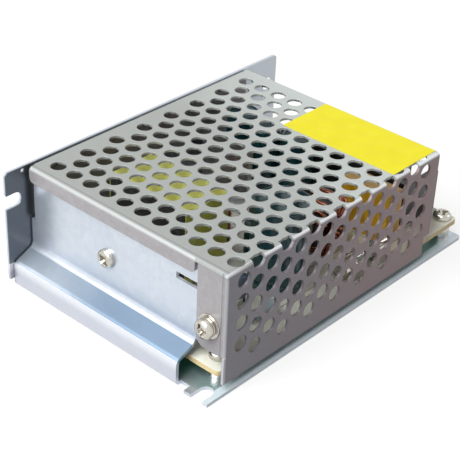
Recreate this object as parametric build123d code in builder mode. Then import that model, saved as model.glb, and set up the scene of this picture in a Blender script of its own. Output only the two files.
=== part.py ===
import os
from math import cos, radians, sin

from build123d import *

# Enclosure sizes
case_height = 36.3
case_width = 75.1
cover_length = 88.5
chassis_sheet = 1.0
cover_sheet = 0.8
sheet_gap = 0.1
top_gap = 0.3
bend_radius = 1.2
floor_bend_radius = 1.6

# The origin is at the centre of the footprint, on the underside of the floor.
end_x = -49.35
near_y = -37.2
back_y = near_y + case_width
cover_end = end_x + cover_length
inner_back = back_y - chassis_sheet

# Perforation of the cover, in staggered columns that run over the bend
row_pitch = 6.5
column_pitch = 5.43
hole_diameter = 4.5
hole_sides = 8
first_column = 6.25
last_top_row = 2.9
first_side_row = 3.9
end_margin = 5.0
edge_margin = 1.0

# Chassis: floor, stepped end wall and back wall
wall_face = end_x + cover_sheet + sheet_gap
wall_inside = wall_face + chassis_sheet
ledge_x = end_x - 6.0
ledge_low = 7.7
ledge_high = 10.8
ledge_radius = 2.2
ledge_near = near_y + 10.7
flange_clearance = 1.9
wall_top = case_height - cover_sheet - top_gap
wall_near = near_y + 1.9
wall_tab_bottom = 11.6
wall_step_height = 19.4
wall_far = inner_back - sheet_gap
wall_far_upper = inner_back - flange_clearance
floor_left = end_x - 6.5
floor_right = end_x + 105.9
floor_near = near_y - 0.7
back_left = end_x - 7.2
back_right = end_x + 103.8
back_tab_bottom = 2.5
corner_radius = 1.2

# Mounting slots, holes and the vent of the chassis
floor_slot_width = 4.0
floor_slot_y = near_y + 3.0
floor_slot_end = end_x - 0.85
notch_low = near_y + 7.4
notch_depth = 2.4
tab_slot_width = 4.4
tab_slot_z = case_height - 9.1
tab_slot_end = end_x - 1.9
tab_hole_x = end_x + 100.0
relief_diameter = 1.2
vent_y = (near_y + 9.6, near_y + 17.9)
vent_z = (case_height - 9.5, case_height - 7.5)

# Cover: lip, corner strip, back flange and the step at its open end
cover_bottom = 3.0
lip_bottom = case_height - 4.5
strip_width = 9.8
strip_bottom = 11.2
strip_corner = 3.0
lip_corner = 1.5
strip_top = case_height - cover_sheet - sheet_gap
flange_bottom = case_height - 16.1
flange_inset = 2.5
cover_back = inner_back - sheet_gap
lip_y = (near_y + 10.9, cover_back - bend_radius)

# As many columns and rows of holes as the cover's plane walls hold
hole_radius = hole_diameter / 2
column_count = int((cover_length - first_column - end_margin) / column_pitch) + 1
top_depth = cover_back - bend_radius - edge_margin - hole_radius - near_y - last_top_row
top_rows = int(top_depth / row_pitch) + 1
side_depth = case_height - first_side_row - row_pitch / 2 - hole_radius - edge_margin - cover_bottom
side_rows = int(side_depth / row_pitch) + 1
end_step_height = 9.2
end_step_depth = 2.7

# Circuit board on its standoffs
board_thickness = 1.6
standoff_height = 4.0
standoff_radius = 2.75
board_left = end_x - 0.4
board_right = end_x + 105.6
board_near = near_y + cover_sheet + 0.5
board_far = back_y - 3.1
board_bottom = chassis_sheet + standoff_height
board_top = board_bottom + board_thickness
board_corner = 1.5
board_screw_places = (
    (end_x + 5.0, near_y + 6.0),
    (end_x + 102.4, near_y + 4.8),
    (end_x + 4.6, back_y - 7.1),
    (end_x + 88.5, back_y - 6.1),
)

# Machine screws and their holes
screw_radius = 1.45
thread_radius = screw_radius + 0.05
clear_radius = 1.7
head_radius = 2.85
head_height = 2.1
head_taper = 12
board_screw_length = 5.0
fit_gap = 0.05
round_sides = 10
shank_sides = 6
can_sides = 12

# Cover screw with its two washers
cover_screw_y = near_y + 5.3
cover_screw_z = 19.0
flat_washer_radius = 3.5
flat_washer_thickness = 0.5
spring_washer_radius = 2.75
spring_washer_thickness = 0.7
cover_screw_length = 6.0

# Power transistor clamped to the end wall
wall_screw_y = back_y - 31.9
wall_screw_z = 20.6
pad_thickness = 0.3
pad_width = 13.0
pad_height = 17.0
package_tab = 1.3
package_width = 10.2
package_thickness = 4.5
package_body = 9.0
package_above_hole = 2.8
package_below_hole = 3.4
lead_width = 0.8
lead_pitch = 2.54
nut_flats = 5.5
nut_height = 2.4

# Terminal block
terminal_pitch = 9.5
terminal_room = case_width - 27.5
terminal_count = int(terminal_room / terminal_pitch)
barrier_thickness = 1.6
block_front = end_x + 105.2
block_depth = 15.9
block_near = near_y + 9.7
block_height = 14.1
block_base = 5.6
block_rear_wall = 2.4
block_chamfer = 1.0
block_length = terminal_count * terminal_pitch + barrier_thickness
block_back = block_front - block_depth
block_top = board_top + block_height
block_seat = board_top + block_base
contact_thickness = 0.8
contact_width = 6.6
contact_depth = 10.4
contact_back = block_back + block_rear_wall + fit_gap
contact_top = block_seat + contact_thickness
contact_pin = 1.2
contact_pin_below = 1.4
terminal_screw_x = block_front - 6.6
terminal_screw_radius = 1.65
terminal_hole_radius = terminal_screw_radius + fit_gap
terminal_screw_head = 2.9
terminal_head_height = 2.0
terminal_screw_length = 4.6
terminal_washer_size = 6.4
terminal_washer_thickness = 0.8
terminal_well_radius = 2.1
terminal_well_depth = 4.4

# Voltage trimmer and indicator lamp
trimmer_width = 6.6
trimmer_height = 7.0
trimmer_depth = 4.8
trimmer_front = end_x + 103.4
trimmer_y = back_y - 10.5
rotor_radius = 2.3
rotor_thickness = 1.4
rotor_recess = 1.0
rotor_z = board_top + 3.6
rotor_slot_width = 0.7
rotor_slot_depth = 0.6
lamp_x = end_x + 99.0
lamp_y = back_y - 5.2
lamp_radius = 1.5
lamp_rim = 0.25
lamp_rim_height = 1.0
lamp_height = 4.6
lamp_crown = 0.7

# Transformer
core_x = end_x + 27.6
core_y = back_y - 28.1
core_depth = 17.0
core_length = 28.8
core_height = 23.0
core_base = board_top + 1.4
core_arm = 5.0
centre_leg = 9.0
bobbin_wall = 0.8
bobbin_reach = 3.7
winding_reach = 3.5
winding_corner = 2.0
tape_thickness = 0.4
tape_width = 16.8
rail_width = 3.6
rail_length = 24.0

# Electrolytic capacitors
bulk_place = (end_x + 41.5, near_y + 17.8)
bulk_radius = 8.5
bulk_height = case_height - cover_sheet - 3.1 - board_top
output_places = (
    (end_x + 77.7, back_y - 10.7),
    (end_x + 75.4, back_y - 21.5),
    (end_x + 77.9, back_y - 32.3),
)
output_radius = 5.0
output_height = 22.4
auxiliary_place = (end_x + 46.5, near_y + 31.0)
auxiliary_radius = 3.2
auxiliary_height = 11.0
groove_height = 2.4
groove_depth = 0.5
groove_width = 1.2
can_rim = 0.6

# Line side: choke, filter capacitor, fuse, thermistor and bridge rectifier
choke_place = (end_x + 62.0, near_y + 19.4)
choke_outer = 8.0
choke_inner = 4.4
choke_width = 7.0
choke_gap_angle = 50
ring_sides = 12
wire_build = 1.5
wire_gap = 0.1
filter_corner = (end_x + 77.3, near_y + 7.6)
filter_width = 6.8
filter_length = 18.0
filter_height = 16.4
fuse_place = (end_x + 63.0, near_y + 5.7)
fuse_radius = 2.3
fuse_cap_radius = 2.6
fuse_length = 20.0
fuse_cap_length = 5.0
fuse_axis_height = 4.3
clip_width = 5.0
clip_thickness = 0.5
thermistor_place = (end_x + 70.3, near_y + 28.0)
thermistor_radius = 4.5
thermistor_thickness = 3.6
bridge_place = (end_x + 57.5, near_y + 29.0)
bridge_width = 15.0
bridge_thickness = 4.6
bridge_height = 16.0
bridge_stand = 1.4
bridge_chamfer = 2.8

# Output side: rectifier on its heatsink, and the output choke
sink_x = end_x + 62.4
sink_y = (back_y - 26.7, back_y - 8.3)
sink_thickness = 2.0
sink_height = 21.0
sink_foot = 3.0
rectifier_y = back_y - 17.5
rectifier_z = board_top + 16.4
rectifier_screw_length = 3.0
output_choke_place = (end_x + 50.4, back_y - 17.1)
output_choke_outer = 7.2
output_choke_inner = 4.2
output_choke_width = 6.0

# Small parts on the board
chip_place = (end_x + 84.8, back_y - 23.1)
chip_width = 6.4
chip_length = 9.4
chip_leads = 4
coupler_place = (end_x + 63.4, back_y - 32.1)
coupler_length = 4.6
coupler_leads = 2
package_stand = 0.6
package_rise = 3.4
snubber_corner = (end_x + 44.0, back_y - 33.1)
snubber_width = 5.0
snubber_length = 6.0
snubber_height = 9.0
safety_places = ((end_x + 25.0, near_y + 17.5), (end_x + 85.2, near_y + 29.2))
safety_radius = 3.9
safety_thickness = 3.0
leg_width = 0.7
leg_height = 2.2
resistor_places = (
    (end_x + 14.0, near_y + 18.0),
    (end_x + 14.0, near_y + 24.0),
    (end_x + 26.0, near_y + 9.0),
)
resistor_radius = 1.8
resistor_length = 8.0

# Plain label on the cover
label_width = 19.6
label_length = 39.8
label_thickness = 0.12
label_end = cover_end - 0.3
label_near = near_y + 1.5


def save(name, part):
    part.label = name
    export_step(part, f"parts/{name}.step")


def box_between(low, high, mode=Mode.ADD):
    """A box given by its lowest and highest corners."""
    size = [top - bottom for bottom, top in zip(low, high)]
    with Locations(low):
        Box(*size, align=(Align.MIN, Align.MIN, Align.MIN), mode=mode)


def rod(centre, direction, radius, length, mode=Mode.ADD, sides=round_sides):
    """A round bar of a few sides from a centre point, or a hole whose flats clear its circle."""
    with BuildSketch(Plane(origin=centre, z_dir=direction)) as outline:
        RegularPolygon(radius, sides, major_radius=mode == Mode.ADD)
    extrude(outline.sketch, amount=length, mode=mode)


def round_hole(centre, direction, radius, length):
    with BuildSketch(Plane(origin=centre, z_dir=direction)) as circle:
        Circle(radius)
    extrude(circle.sketch, amount=length, mode=Mode.SUBTRACT)


def bent_sheet(points, radii, plane, thickness, length):
    """A folded sheet: its outer line is offset to the right by its thickness and extruded."""
    with BuildSketch(plane) as section:
        with BuildLine():
            FilletPolyline(*points, radius=radii)
            offset(amount=thickness, side=Side.RIGHT)
        make_face()
    extrude(section.sketch, amount=length)


def pan_screw(seat, length, radius=screw_radius, head=head_radius, height=head_height):
    """A screw whose tapered head stands on the seat plane, on its normal's side."""
    with BuildPart() as screw:
        with BuildSketch(seat):
            RegularPolygon(head, round_sides)
        extrude(amount=height, taper=head_taper)
        with BuildSketch(seat):
            RegularPolygon(radius, shank_sides)
        extrude(amount=-length)
    return screw.part


def ring(seat, outer, inner, thickness):
    with BuildPart() as washer:
        with BuildSketch(seat):
            RegularPolygon(outer, round_sides)
            RegularPolygon(inner, shank_sides, major_radius=False, mode=Mode.SUBTRACT)
        extrude(amount=thickness)
    return washer.part


def column_x(column):
    return end_x + first_column + column * column_pitch


def column_rows(column, even_rows, odd_rows):
    """Rows of one column: an odd column is shifted by half a pitch."""
    if column % 2 == 0:
        return [float(row) for row in range(even_rows)]
    return [row + 0.5 for row in range(odd_rows)]


def top_holes():
    far_row = near_y + last_top_row + (top_rows - 1) * row_pitch
    columns = range(column_count)
    rows = {column: column_rows(column, top_rows, top_rows - 1) for column in columns}
    return [(column_x(column), far_row - row * row_pitch) for column in columns for row in rows[column]]


def side_holes():
    high_row = case_height - first_side_row
    columns = range(column_count)
    rows = {column: column_rows(column, side_rows, side_rows) for column in columns}
    return [(column_x(column), high_row - row * row_pitch) for column in columns for row in rows[column]]


def to220(hole, side):
    """A three-lead power package: side is +1 when its tab faces -X, and -1 when it faces +X."""
    x, y, z = hole
    near, far = y - package_width / 2, y + package_width / 2
    tab_top = z + package_above_hole
    body_top = z - package_below_hole
    body_bottom = body_top - package_body
    tab_x = sorted((x, x + side * package_tab))
    body_x = sorted((x, x + side * package_thickness))
    lead_x = x + side * package_thickness * 0.55
    with BuildPart() as package:
        box_between((tab_x[0], near, body_top), (tab_x[1], far, tab_top))
        rod((x - side, y, z), (side, 0, 0), clear_radius, package_tab + 2, mode=Mode.SUBTRACT)
        box_between((body_x[0], near, body_bottom), (body_x[1], far, body_top))
        for lead in (-1, 0, 1):
            lead_y = y + lead * lead_pitch - lead_width / 2
            box_between(
                (lead_x - lead_width / 2, lead_y, board_top),
                (lead_x + lead_width / 2, lead_y + lead_width, body_bottom),
            )
    return package.part


def can_capacitor(place, radius, height, groove=0):
    """An upright electrolytic can, with a crimped groove of a given depth above its base."""
    low = Plane((*place, board_top))
    with BuildPart() as can:
        with BuildSketch(low):
            RegularPolygon(radius, can_sides)
        extrude(amount=height)
        chamfer(can.faces().sort_by(Axis.Z)[-1].edges(), can_rim)
        if groove:
            with BuildSketch(low.offset(groove_height)):
                RegularPolygon(radius, can_sides)
                RegularPolygon(radius - groove, can_sides, mode=Mode.SUBTRACT)
            extrude(amount=groove_width, mode=Mode.SUBTRACT)
    return can.part


def disc_component(place, radius, thickness):
    """A coated disc that stands on edge above two legs."""
    x, y = place
    centre_z = board_top + leg_height + radius
    with BuildPart() as disc:
        rod((x, y - thickness / 2, centre_z), (0, 1, 0), radius, thickness)
        for side in (-1, 1):
            leg_x = x + side * radius * 0.55
            box_between(
                (leg_x - leg_width / 2, y - leg_width / 2, board_top),
                (leg_x + leg_width / 2, y + leg_width / 2, centre_z),
            )
    return disc.part


def axial_resistor(place):
    """A tubular resistor held just above the board by its bent leads."""
    x, y = place
    axis_z = board_top + resistor_radius + leg_width / 2
    half = resistor_length / 2
    with BuildPart() as resistor:
        rod((x - half, y, axis_z), (1, 0, 0), resistor_radius, resistor_length)
        for side in (-1, 1):
            leg_x = x + side * (half + leg_width)
            low, high = sorted((x + side * half * 0.9, leg_x + side * leg_width / 2))
            box_between(
                (low, y - leg_width / 2, axis_z - leg_width / 2),
                (high, y + leg_width / 2, axis_z + leg_width / 2),
            )
            box_between(
                (leg_x - leg_width / 2, y - leg_width / 2, board_top),
                (leg_x + leg_width / 2, y + leg_width / 2, axis_z),
            )
    return resistor.part


def dual_in_line(place, length, leads_per_side):
    """A moulded package carried clear of the board by two rows of leads."""
    x, y = place
    bottom = board_top + package_stand
    with BuildPart() as package:
        box_between(
            (x - chip_width / 2, y - length / 2, bottom),
            (x + chip_width / 2, y + length / 2, bottom + package_rise),
        )
        for lead in range(leads_per_side):
            lead_y = y + (lead - (leads_per_side - 1) / 2) * lead_pitch
            for side in (-1, 1):
                lead_x = x + side * (chip_width / 2 + leg_width / 2)
                box_between(
                    (lead_x - leg_width / 2, lead_y - leg_width / 2, board_top),
                    (lead_x + leg_width / 2, lead_y + leg_width / 2, bottom + package_rise / 2),
                )
    return package.part


def wound_ring(seat, sizes, gaps):
    """A toroid core about the seat plane's normal, and its winding with one open sector or two."""
    outer, inner, width = sizes
    with BuildPart() as core:
        with BuildSketch(seat.offset(-width / 2)):
            RegularPolygon(outer, ring_sides)
            RegularPolygon(inner, ring_sides, mode=Mode.SUBTRACT)
        extrude(amount=width)
    with BuildPart() as winding:
        with BuildSketch(seat.offset(-width / 2 - wire_build)):
            RegularPolygon(outer + wire_build, ring_sides)
            RegularPolygon(inner - wire_build, ring_sides, mode=Mode.SUBTRACT)
        extrude(amount=width + 2 * wire_build)
        with BuildSketch(seat.offset(-width / 2 - wire_gap)):
            RegularPolygon(outer + wire_gap, ring_sides)
            RegularPolygon(inner - wire_gap, ring_sides, mode=Mode.SUBTRACT)
        extrude(amount=width + 2 * wire_gap, mode=Mode.SUBTRACT)
        for gap in range(gaps):
            with BuildSketch(seat):
                with BuildLine():
                    half = radians(choke_gap_angle / 2)
                    middle = radians(360 / gaps * gap)
                    reach = 2 * outer
                    rays = (middle - half, middle + half)
                    corners = [(reach * cos(ray), reach * sin(ray)) for ray in rays]
                    Polyline((0, 0), *corners, close=True)
                make_face()
            extrude(amount=width + wire_build, both=True, mode=Mode.SUBTRACT)
    return core.part, winding.part


os.makedirs("parts", exist_ok=True)

# Chassis: one folded sheet with the floor, the back wall and the stepped end wall
with BuildPart() as chassis:
    bent_sheet(
        [(back_y, case_height), (back_y, 0), (floor_near, 0)],
        floor_bend_radius,
        Plane.YZ.offset(ledge_x + floor_bend_radius),
        chassis_sheet,
        floor_right - ledge_x - floor_bend_radius,
    )
    bent_sheet(
        [
            (ledge_x + 3 * floor_bend_radius, 0),
            (ledge_x, 0),
            (ledge_x, ledge_low),
            (wall_face, ledge_high),
            (wall_face, wall_top),
        ],
        [floor_bend_radius, ledge_radius, ledge_radius],
        Plane.XZ.offset(-wall_far),
        chassis_sheet,
        wall_far - ledge_near,
    )
    tongue_end = ledge_x + 2 * floor_bend_radius
    box_between((wall_face, wall_near, wall_tab_bottom), (wall_inside, ledge_near, wall_top))
    box_between((floor_left, floor_near, 0), (tongue_end, ledge_near, chassis_sheet))
    box_between((back_left, inner_back, back_tab_bottom), (tongue_end, back_y, case_height))

    # The upper wall stands clear of the cover's back flange, and the back wall ends before the floor.
    box_between(
        (wall_face - 1, wall_far_upper, wall_step_height),
        (wall_inside + 1, inner_back, case_height),
        mode=Mode.SUBTRACT,
    )
    box_between(
        (back_right, back_y - floor_bend_radius, -1),
        (floor_right + 1, back_y + 1, case_height + 1),
        mode=Mode.SUBTRACT,
    )

    # The relief notch frees the end wall's bend from the tongue beside the floor's slot.
    box_between(
        (floor_left - 1, notch_low, -1),
        (floor_left + notch_depth, ledge_near, chassis_sheet + 1),
        mode=Mode.SUBTRACT,
    )
    floor_slot_centre = floor_slot_end - floor_slot_width / 2
    box_between(
        (floor_left - 1, floor_slot_y - floor_slot_width / 2, -1),
        (floor_slot_centre, floor_slot_y + floor_slot_width / 2, chassis_sheet + 1),
        mode=Mode.SUBTRACT,
    )
    round_hole((floor_slot_centre, floor_slot_y, -1), (0, 0, 1), floor_slot_width / 2, 3)

    # The back wall has an open slot at one end and a round hole at the other.
    tab_slot_centre = tab_slot_end - tab_slot_width / 2
    box_between(
        (back_left - 1, inner_back - 1, tab_slot_z - tab_slot_width / 2),
        (tab_slot_centre, back_y + 1, tab_slot_z + tab_slot_width / 2),
        mode=Mode.SUBTRACT,
    )
    for hole_x in (tab_slot_centre, tab_hole_x):
        round_hole((hole_x, back_y + 1, tab_slot_z), (0, -1, 0), tab_slot_width / 2, 3)
    relief_x = end_x - relief_diameter
    rod((relief_x, back_y + 1, wall_top), (0, -1, 0), relief_diameter / 2, 3, mode=Mode.SUBTRACT)

    # The end wall takes the transistor's screw, the cover's screw and a vent slot.
    rod((end_x - 1, wall_screw_y, wall_screw_z), (1, 0, 0), clear_radius, 4, mode=Mode.SUBTRACT)
    rod((end_x - 1, cover_screw_y, cover_screw_z), (1, 0, 0), thread_radius, 4, mode=Mode.SUBTRACT)
    box_between(
        (wall_face - 1, vent_y[0], vent_z[0]),
        (wall_inside + 1, vent_y[1], vent_z[1]),
        mode=Mode.SUBTRACT,
    )

    tab_corners = chassis.edges().filter_by(Axis.Y).group_by(Axis.Z)[-1].sort_by(Axis.X)
    fillet([tab_corners[0], tab_corners[-1]], corner_radius)
    floor_corners = chassis.edges().filter_by(Axis.Z).group_by(Axis.X)[-1]
    fillet(floor_corners, corner_radius)
save("chassis", chassis.part)

# Cover: one perforated sheet folded into a top, a near side and a back flange
with BuildPart() as cover:
    bent_sheet(
        [
            (near_y, cover_bottom),
            (near_y, case_height),
            (cover_back, case_height),
            (cover_back, flange_bottom),
        ],
        bend_radius,
        Plane.YZ.offset(end_x),
        cover_sheet,
        cover_length,
    )
    flange_low = (end_x, cover_back - bend_radius, flange_bottom - 1)
    flange_high = (end_x + flange_inset, cover_back + 1, case_height + 1)
    box_between(flange_low, flange_high, mode=Mode.SUBTRACT)

    # The edges make way for the bends of the lip and of the corner strip.
    box_between(
        (end_x - 1, lip_y[0], case_height - bend_radius),
        (end_x + bend_radius, lip_y[1], case_height + 1),
        mode=Mode.SUBTRACT,
    )
    box_between(
        (end_x - 1, near_y - 1, strip_bottom),
        (end_x + bend_radius, near_y + bend_radius, strip_top),
        mode=Mode.SUBTRACT,
    )
    bent_sheet(
        [(end_x, lip_bottom), (end_x, case_height), (end_x + 2 * bend_radius, case_height)],
        bend_radius,
        Plane.XZ.offset(-lip_y[1]),
        cover_sheet,
        lip_y[1] - lip_y[0],
    )
    bent_sheet(
        [(end_x + 2 * bend_radius, near_y), (end_x, near_y), (end_x, near_y + strip_width)],
        bend_radius,
        Plane.XY.offset(strip_bottom),
        cover_sheet,
        strip_top - strip_bottom,
    )
    box_between(
        (cover_end - end_step_depth, near_y - 1, cover_bottom - 1),
        (cover_end + 1, near_y + bend_radius, end_step_height),
        mode=Mode.SUBTRACT,
    )
    through_sheet = cover.edges().filter_by(Axis.X).filter_by_position(Axis.X, end_x, end_x + cover_sheet)
    strip_edges = through_sheet.filter_by_position(Axis.Z, strip_bottom - 1, strip_bottom + 1)
    fillet(strip_edges.sort_by(Axis.Y)[-1], strip_corner)
    through_sheet = cover.edges().filter_by(Axis.X).filter_by_position(Axis.X, end_x, end_x + cover_sheet)
    fillet(through_sheet.filter_by_position(Axis.Z, lip_bottom - 1, lip_bottom + 1), lip_corner)
    rod((end_x - 1, cover_screw_y, cover_screw_z), (1, 0, 0), clear_radius, 2, mode=Mode.SUBTRACT)

    # The punched rows run over the top, the bend and the near side.
    top_plane = Plane.XY.offset(case_height + 0.5)
    side_plane = Plane.XZ.offset(0.5 - near_y)
    bend_columns = [column_x(column) for column in range(1, column_count, 2)]
    hole_turn = 180 / hole_sides
    bend_y = near_y + last_top_row - row_pitch / 2
    bend_z = case_height - first_side_row + row_pitch / 2
    with BuildSketch(top_plane):
        with Locations(*top_holes()):
            RegularPolygon(hole_radius, hole_sides, rotation=hole_turn)
    extrude(amount=-cover_sheet - 1, mode=Mode.SUBTRACT)
    with BuildSketch(top_plane):
        with Locations(*[(x, bend_y) for x in bend_columns]):
            RegularPolygon(hole_radius, hole_sides, rotation=hole_turn)
    extrude(amount=-bend_radius - 0.5, mode=Mode.SUBTRACT)
    with BuildSketch(side_plane):
        with Locations(*side_holes(), *[(x, bend_z) for x in bend_columns]):
            RegularPolygon(hole_radius, hole_sides, rotation=hole_turn)
    extrude(amount=-bend_radius - 0.5, mode=Mode.SUBTRACT)
save("cover", cover.part)

# Plain label stuck on the cover's open end
with BuildPart() as top_label:
    box_between(
        (label_end - label_width, label_near, case_height),
        (label_end, label_near + label_length, case_height + label_thickness),
    )
save("top_label", top_label.part)

# Circuit board, with holes for its screws and for the terminal pins
contact_pin_x = contact_back + contact_pin / 2
terminal_ys = [
    block_near + barrier_thickness / 2 + terminal_pitch * (way + 0.5) for way in range(terminal_count)
]
with BuildPart() as circuit_board:
    box_between((board_left, board_near, board_bottom), (board_right, board_far, board_top))
    fillet(circuit_board.edges().filter_by(Axis.Z), board_corner)
    for x, y in board_screw_places:
        rod((x, y, board_top + 1), (0, 0, -1), clear_radius, 2 * board_thickness, mode=Mode.SUBTRACT)
    with Locations(*[(contact_pin_x, y, board_top) for y in terminal_ys]):
        Box(contact_pin + 2 * fit_gap, contact_pin + 2 * fit_gap, 3 * board_thickness, mode=Mode.SUBTRACT)
save("circuit_board", circuit_board.part)

with BuildPart() as board_standoffs:
    for x, y in board_screw_places:
        add(ring(Plane((x, y, chassis_sheet)), standoff_radius, thread_radius, standoff_height))
save("board_standoffs", board_standoffs.part)

with BuildPart() as board_screws:
    for x, y in board_screw_places:
        add(pan_screw(Plane((x, y, board_top)), board_screw_length))
save("board_screws", board_screws.part)

# Cover screw, with a flat and a split washer, on the corner strip
strip_seat = Plane((end_x, cover_screw_y, cover_screw_z), x_dir=(0, 1, 0), z_dir=(-1, 0, 0))
flat_washer = ring(strip_seat, flat_washer_radius, clear_radius, flat_washer_thickness)
save("cover_flat_washer", flat_washer)

spring_seat = strip_seat.offset(flat_washer_thickness)
with BuildPart() as spring_washer:
    add(ring(spring_seat, spring_washer_radius, screw_radius + fit_gap, spring_washer_thickness))
    with Locations(spring_seat):
        with Locations((spring_washer_radius, 0, 0)):
            Box(spring_washer_radius, lead_width / 2, 4 * spring_washer_thickness, mode=Mode.SUBTRACT)
save("cover_spring_washer", spring_washer.part)
save("cover_screw", pan_screw(spring_seat.offset(spring_washer_thickness), cover_screw_length))

# Power transistor, its pad, screw and nut on the end wall
wall_seat = Plane((wall_face, wall_screw_y, wall_screw_z), x_dir=(0, 1, 0), z_dir=(-1, 0, 0))
pad_top = wall_screw_z + package_above_hole + 1
pad_inside = wall_inside + pad_thickness
nut_seat = pad_inside + package_tab
with BuildPart() as insulating_pad:
    box_between(
        (wall_inside, wall_screw_y - pad_width / 2, pad_top - pad_height),
        (pad_inside, wall_screw_y + pad_width / 2, pad_top),
    )
    rod((wall_face, wall_screw_y, wall_screw_z), (1, 0, 0), clear_radius, 3, mode=Mode.SUBTRACT)
save("insulating_pad", insulating_pad.part)
save("power_transistor", to220((pad_inside, wall_screw_y, wall_screw_z), 1))
save("wall_screw", pan_screw(wall_seat, nut_seat + nut_height - wall_face + 0.6))

with BuildPart() as wall_nut:
    with BuildSketch(Plane((nut_seat, wall_screw_y, wall_screw_z), x_dir=(0, 1, 0), z_dir=(1, 0, 0))):
        RegularPolygon(nut_flats / 2, 6, major_radius=False, rotation=30)
        RegularPolygon(thread_radius, shank_sides, major_radius=False, mode=Mode.SUBTRACT)
    extrude(amount=nut_height)
save("wall_nut", wall_nut.part)

# Terminal block: a stepped base with a barrier beside each way
with BuildPart() as terminal_block:
    with BuildSketch(Plane.XZ.offset(-block_near - block_length)):
        with BuildLine():
            Polyline(
                (block_back, board_top),
                (block_front, board_top),
                (block_front, block_seat),
                (block_back + block_rear_wall, block_seat),
                (block_back + block_rear_wall, block_top),
                (block_back, block_top),
                close=True,
            )
        make_face()
    extrude(amount=block_length)
    for barrier in range(terminal_count + 1):
        barrier_y = block_near + barrier * terminal_pitch
        with BuildSketch(Plane.XZ.offset(-barrier_y - barrier_thickness)):
            with BuildLine():
                Polyline(
                    (block_back, board_top),
                    (block_front, board_top),
                    (block_front, block_top - block_chamfer),
                    (block_front - block_chamfer, block_top),
                    (block_back, block_top),
                    close=True,
                )
            make_face()
        extrude(amount=barrier_thickness)
    for y in terminal_ys:
        well_low = (terminal_screw_x, y, block_seat + 1)
        rod(well_low, (0, 0, -1), terminal_well_radius, terminal_well_depth + 1, mode=Mode.SUBTRACT)
        box_between(
            (contact_back - fit_gap, y - contact_pin / 2 - fit_gap, board_top - 1),
            (contact_back + contact_pin + fit_gap, y + contact_pin / 2 + fit_gap, block_seat + 1),
            mode=Mode.SUBTRACT,
        )
save("terminal_block", terminal_block.part)

with BuildPart() as terminal_contacts:
    for y in terminal_ys:
        box_between(
            (contact_back, y - contact_width / 2, block_seat),
            (contact_back + contact_depth, y + contact_width / 2, contact_top),
        )
        box_between(
            (contact_back, y - contact_pin / 2, board_bottom - contact_pin_below),
            (contact_back + contact_pin, y + contact_pin / 2, block_seat),
        )
        plate_hole = (terminal_screw_x, y, block_seat - 1)
        rod(plate_hole, (0, 0, 1), terminal_hole_radius, 3, mode=Mode.SUBTRACT, sides=shank_sides)
save("terminal_contacts", terminal_contacts.part)

washer_seat = contact_top + fit_gap
head_seat = washer_seat + terminal_washer_thickness
for way, y in enumerate(terminal_ys, start=1):
    with BuildPart() as terminal_washer:
        with BuildSketch(Plane((terminal_screw_x, y, washer_seat))):
            Rectangle(terminal_washer_size, terminal_washer_size)
            RegularPolygon(terminal_hole_radius, shank_sides, major_radius=False, mode=Mode.SUBTRACT)
        extrude(amount=terminal_washer_thickness)
    save(f"terminal_washer_{way}", terminal_washer.part)
    terminal_screw = pan_screw(
        Plane((terminal_screw_x, y, head_seat)),
        terminal_screw_length,
        terminal_screw_radius,
        terminal_screw_head,
        terminal_head_height,
    )
    save(f"terminal_screw_{way}", terminal_screw)

# Voltage trimmer, with its slotted rotor in a shallow round recess
with BuildPart() as trimmer_body:
    box_between(
        (trimmer_front - trimmer_depth, trimmer_y - trimmer_width / 2, board_top),
        (trimmer_front, trimmer_y + trimmer_width / 2, board_top + trimmer_height),
    )
    recess = (trimmer_front - rotor_recess, trimmer_y, rotor_z)
    rod(recess, (1, 0, 0), rotor_radius + fit_gap, rotor_recess + 1, mode=Mode.SUBTRACT)
save("trimmer_body", trimmer_body.part)

rotor_base = trimmer_front - rotor_recess + fit_gap
with BuildPart() as trimmer_rotor:
    rod((rotor_base, trimmer_y, rotor_z), (1, 0, 0), rotor_radius, rotor_thickness)
    with Locations((rotor_base + rotor_thickness, trimmer_y, rotor_z)):
        Box(2 * rotor_slot_depth, rotor_slot_width, 3 * rotor_radius, mode=Mode.SUBTRACT)
save("trimmer_rotor", trimmer_rotor.part)

with BuildPart() as indicator_lamp:
    rod((lamp_x, lamp_y, board_top), (0, 0, 1), lamp_radius + lamp_rim, lamp_rim_height)
    rod((lamp_x, lamp_y, board_top), (0, 0, 1), lamp_radius, lamp_height)
    chamfer(indicator_lamp.faces().sort_by(Axis.Z)[-1].edges(), lamp_crown)
save("indicator_lamp", indicator_lamp.part)

# Transformer: a two-window core, a bobbin on its centre leg, the winding and a band of tape
core_top = core_base + core_height
core_middle = core_base + core_height / 2
window_low = core_base + core_arm
window_high = core_top - core_arm
window_width = (core_length - centre_leg) / 2 - core_arm
with BuildPart() as transformer_core:
    box_between(
        (core_x - core_depth / 2, core_y - core_length / 2, core_base),
        (core_x + core_depth / 2, core_y + core_length / 2, core_top),
    )
    for side in (-1, 1):
        with Locations((core_x, core_y + side * (centre_leg + window_width) / 2, core_middle)):
            Box(2 * core_depth, window_width, window_high - window_low, mode=Mode.SUBTRACT)
save("transformer_core", transformer_core.part)

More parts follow.
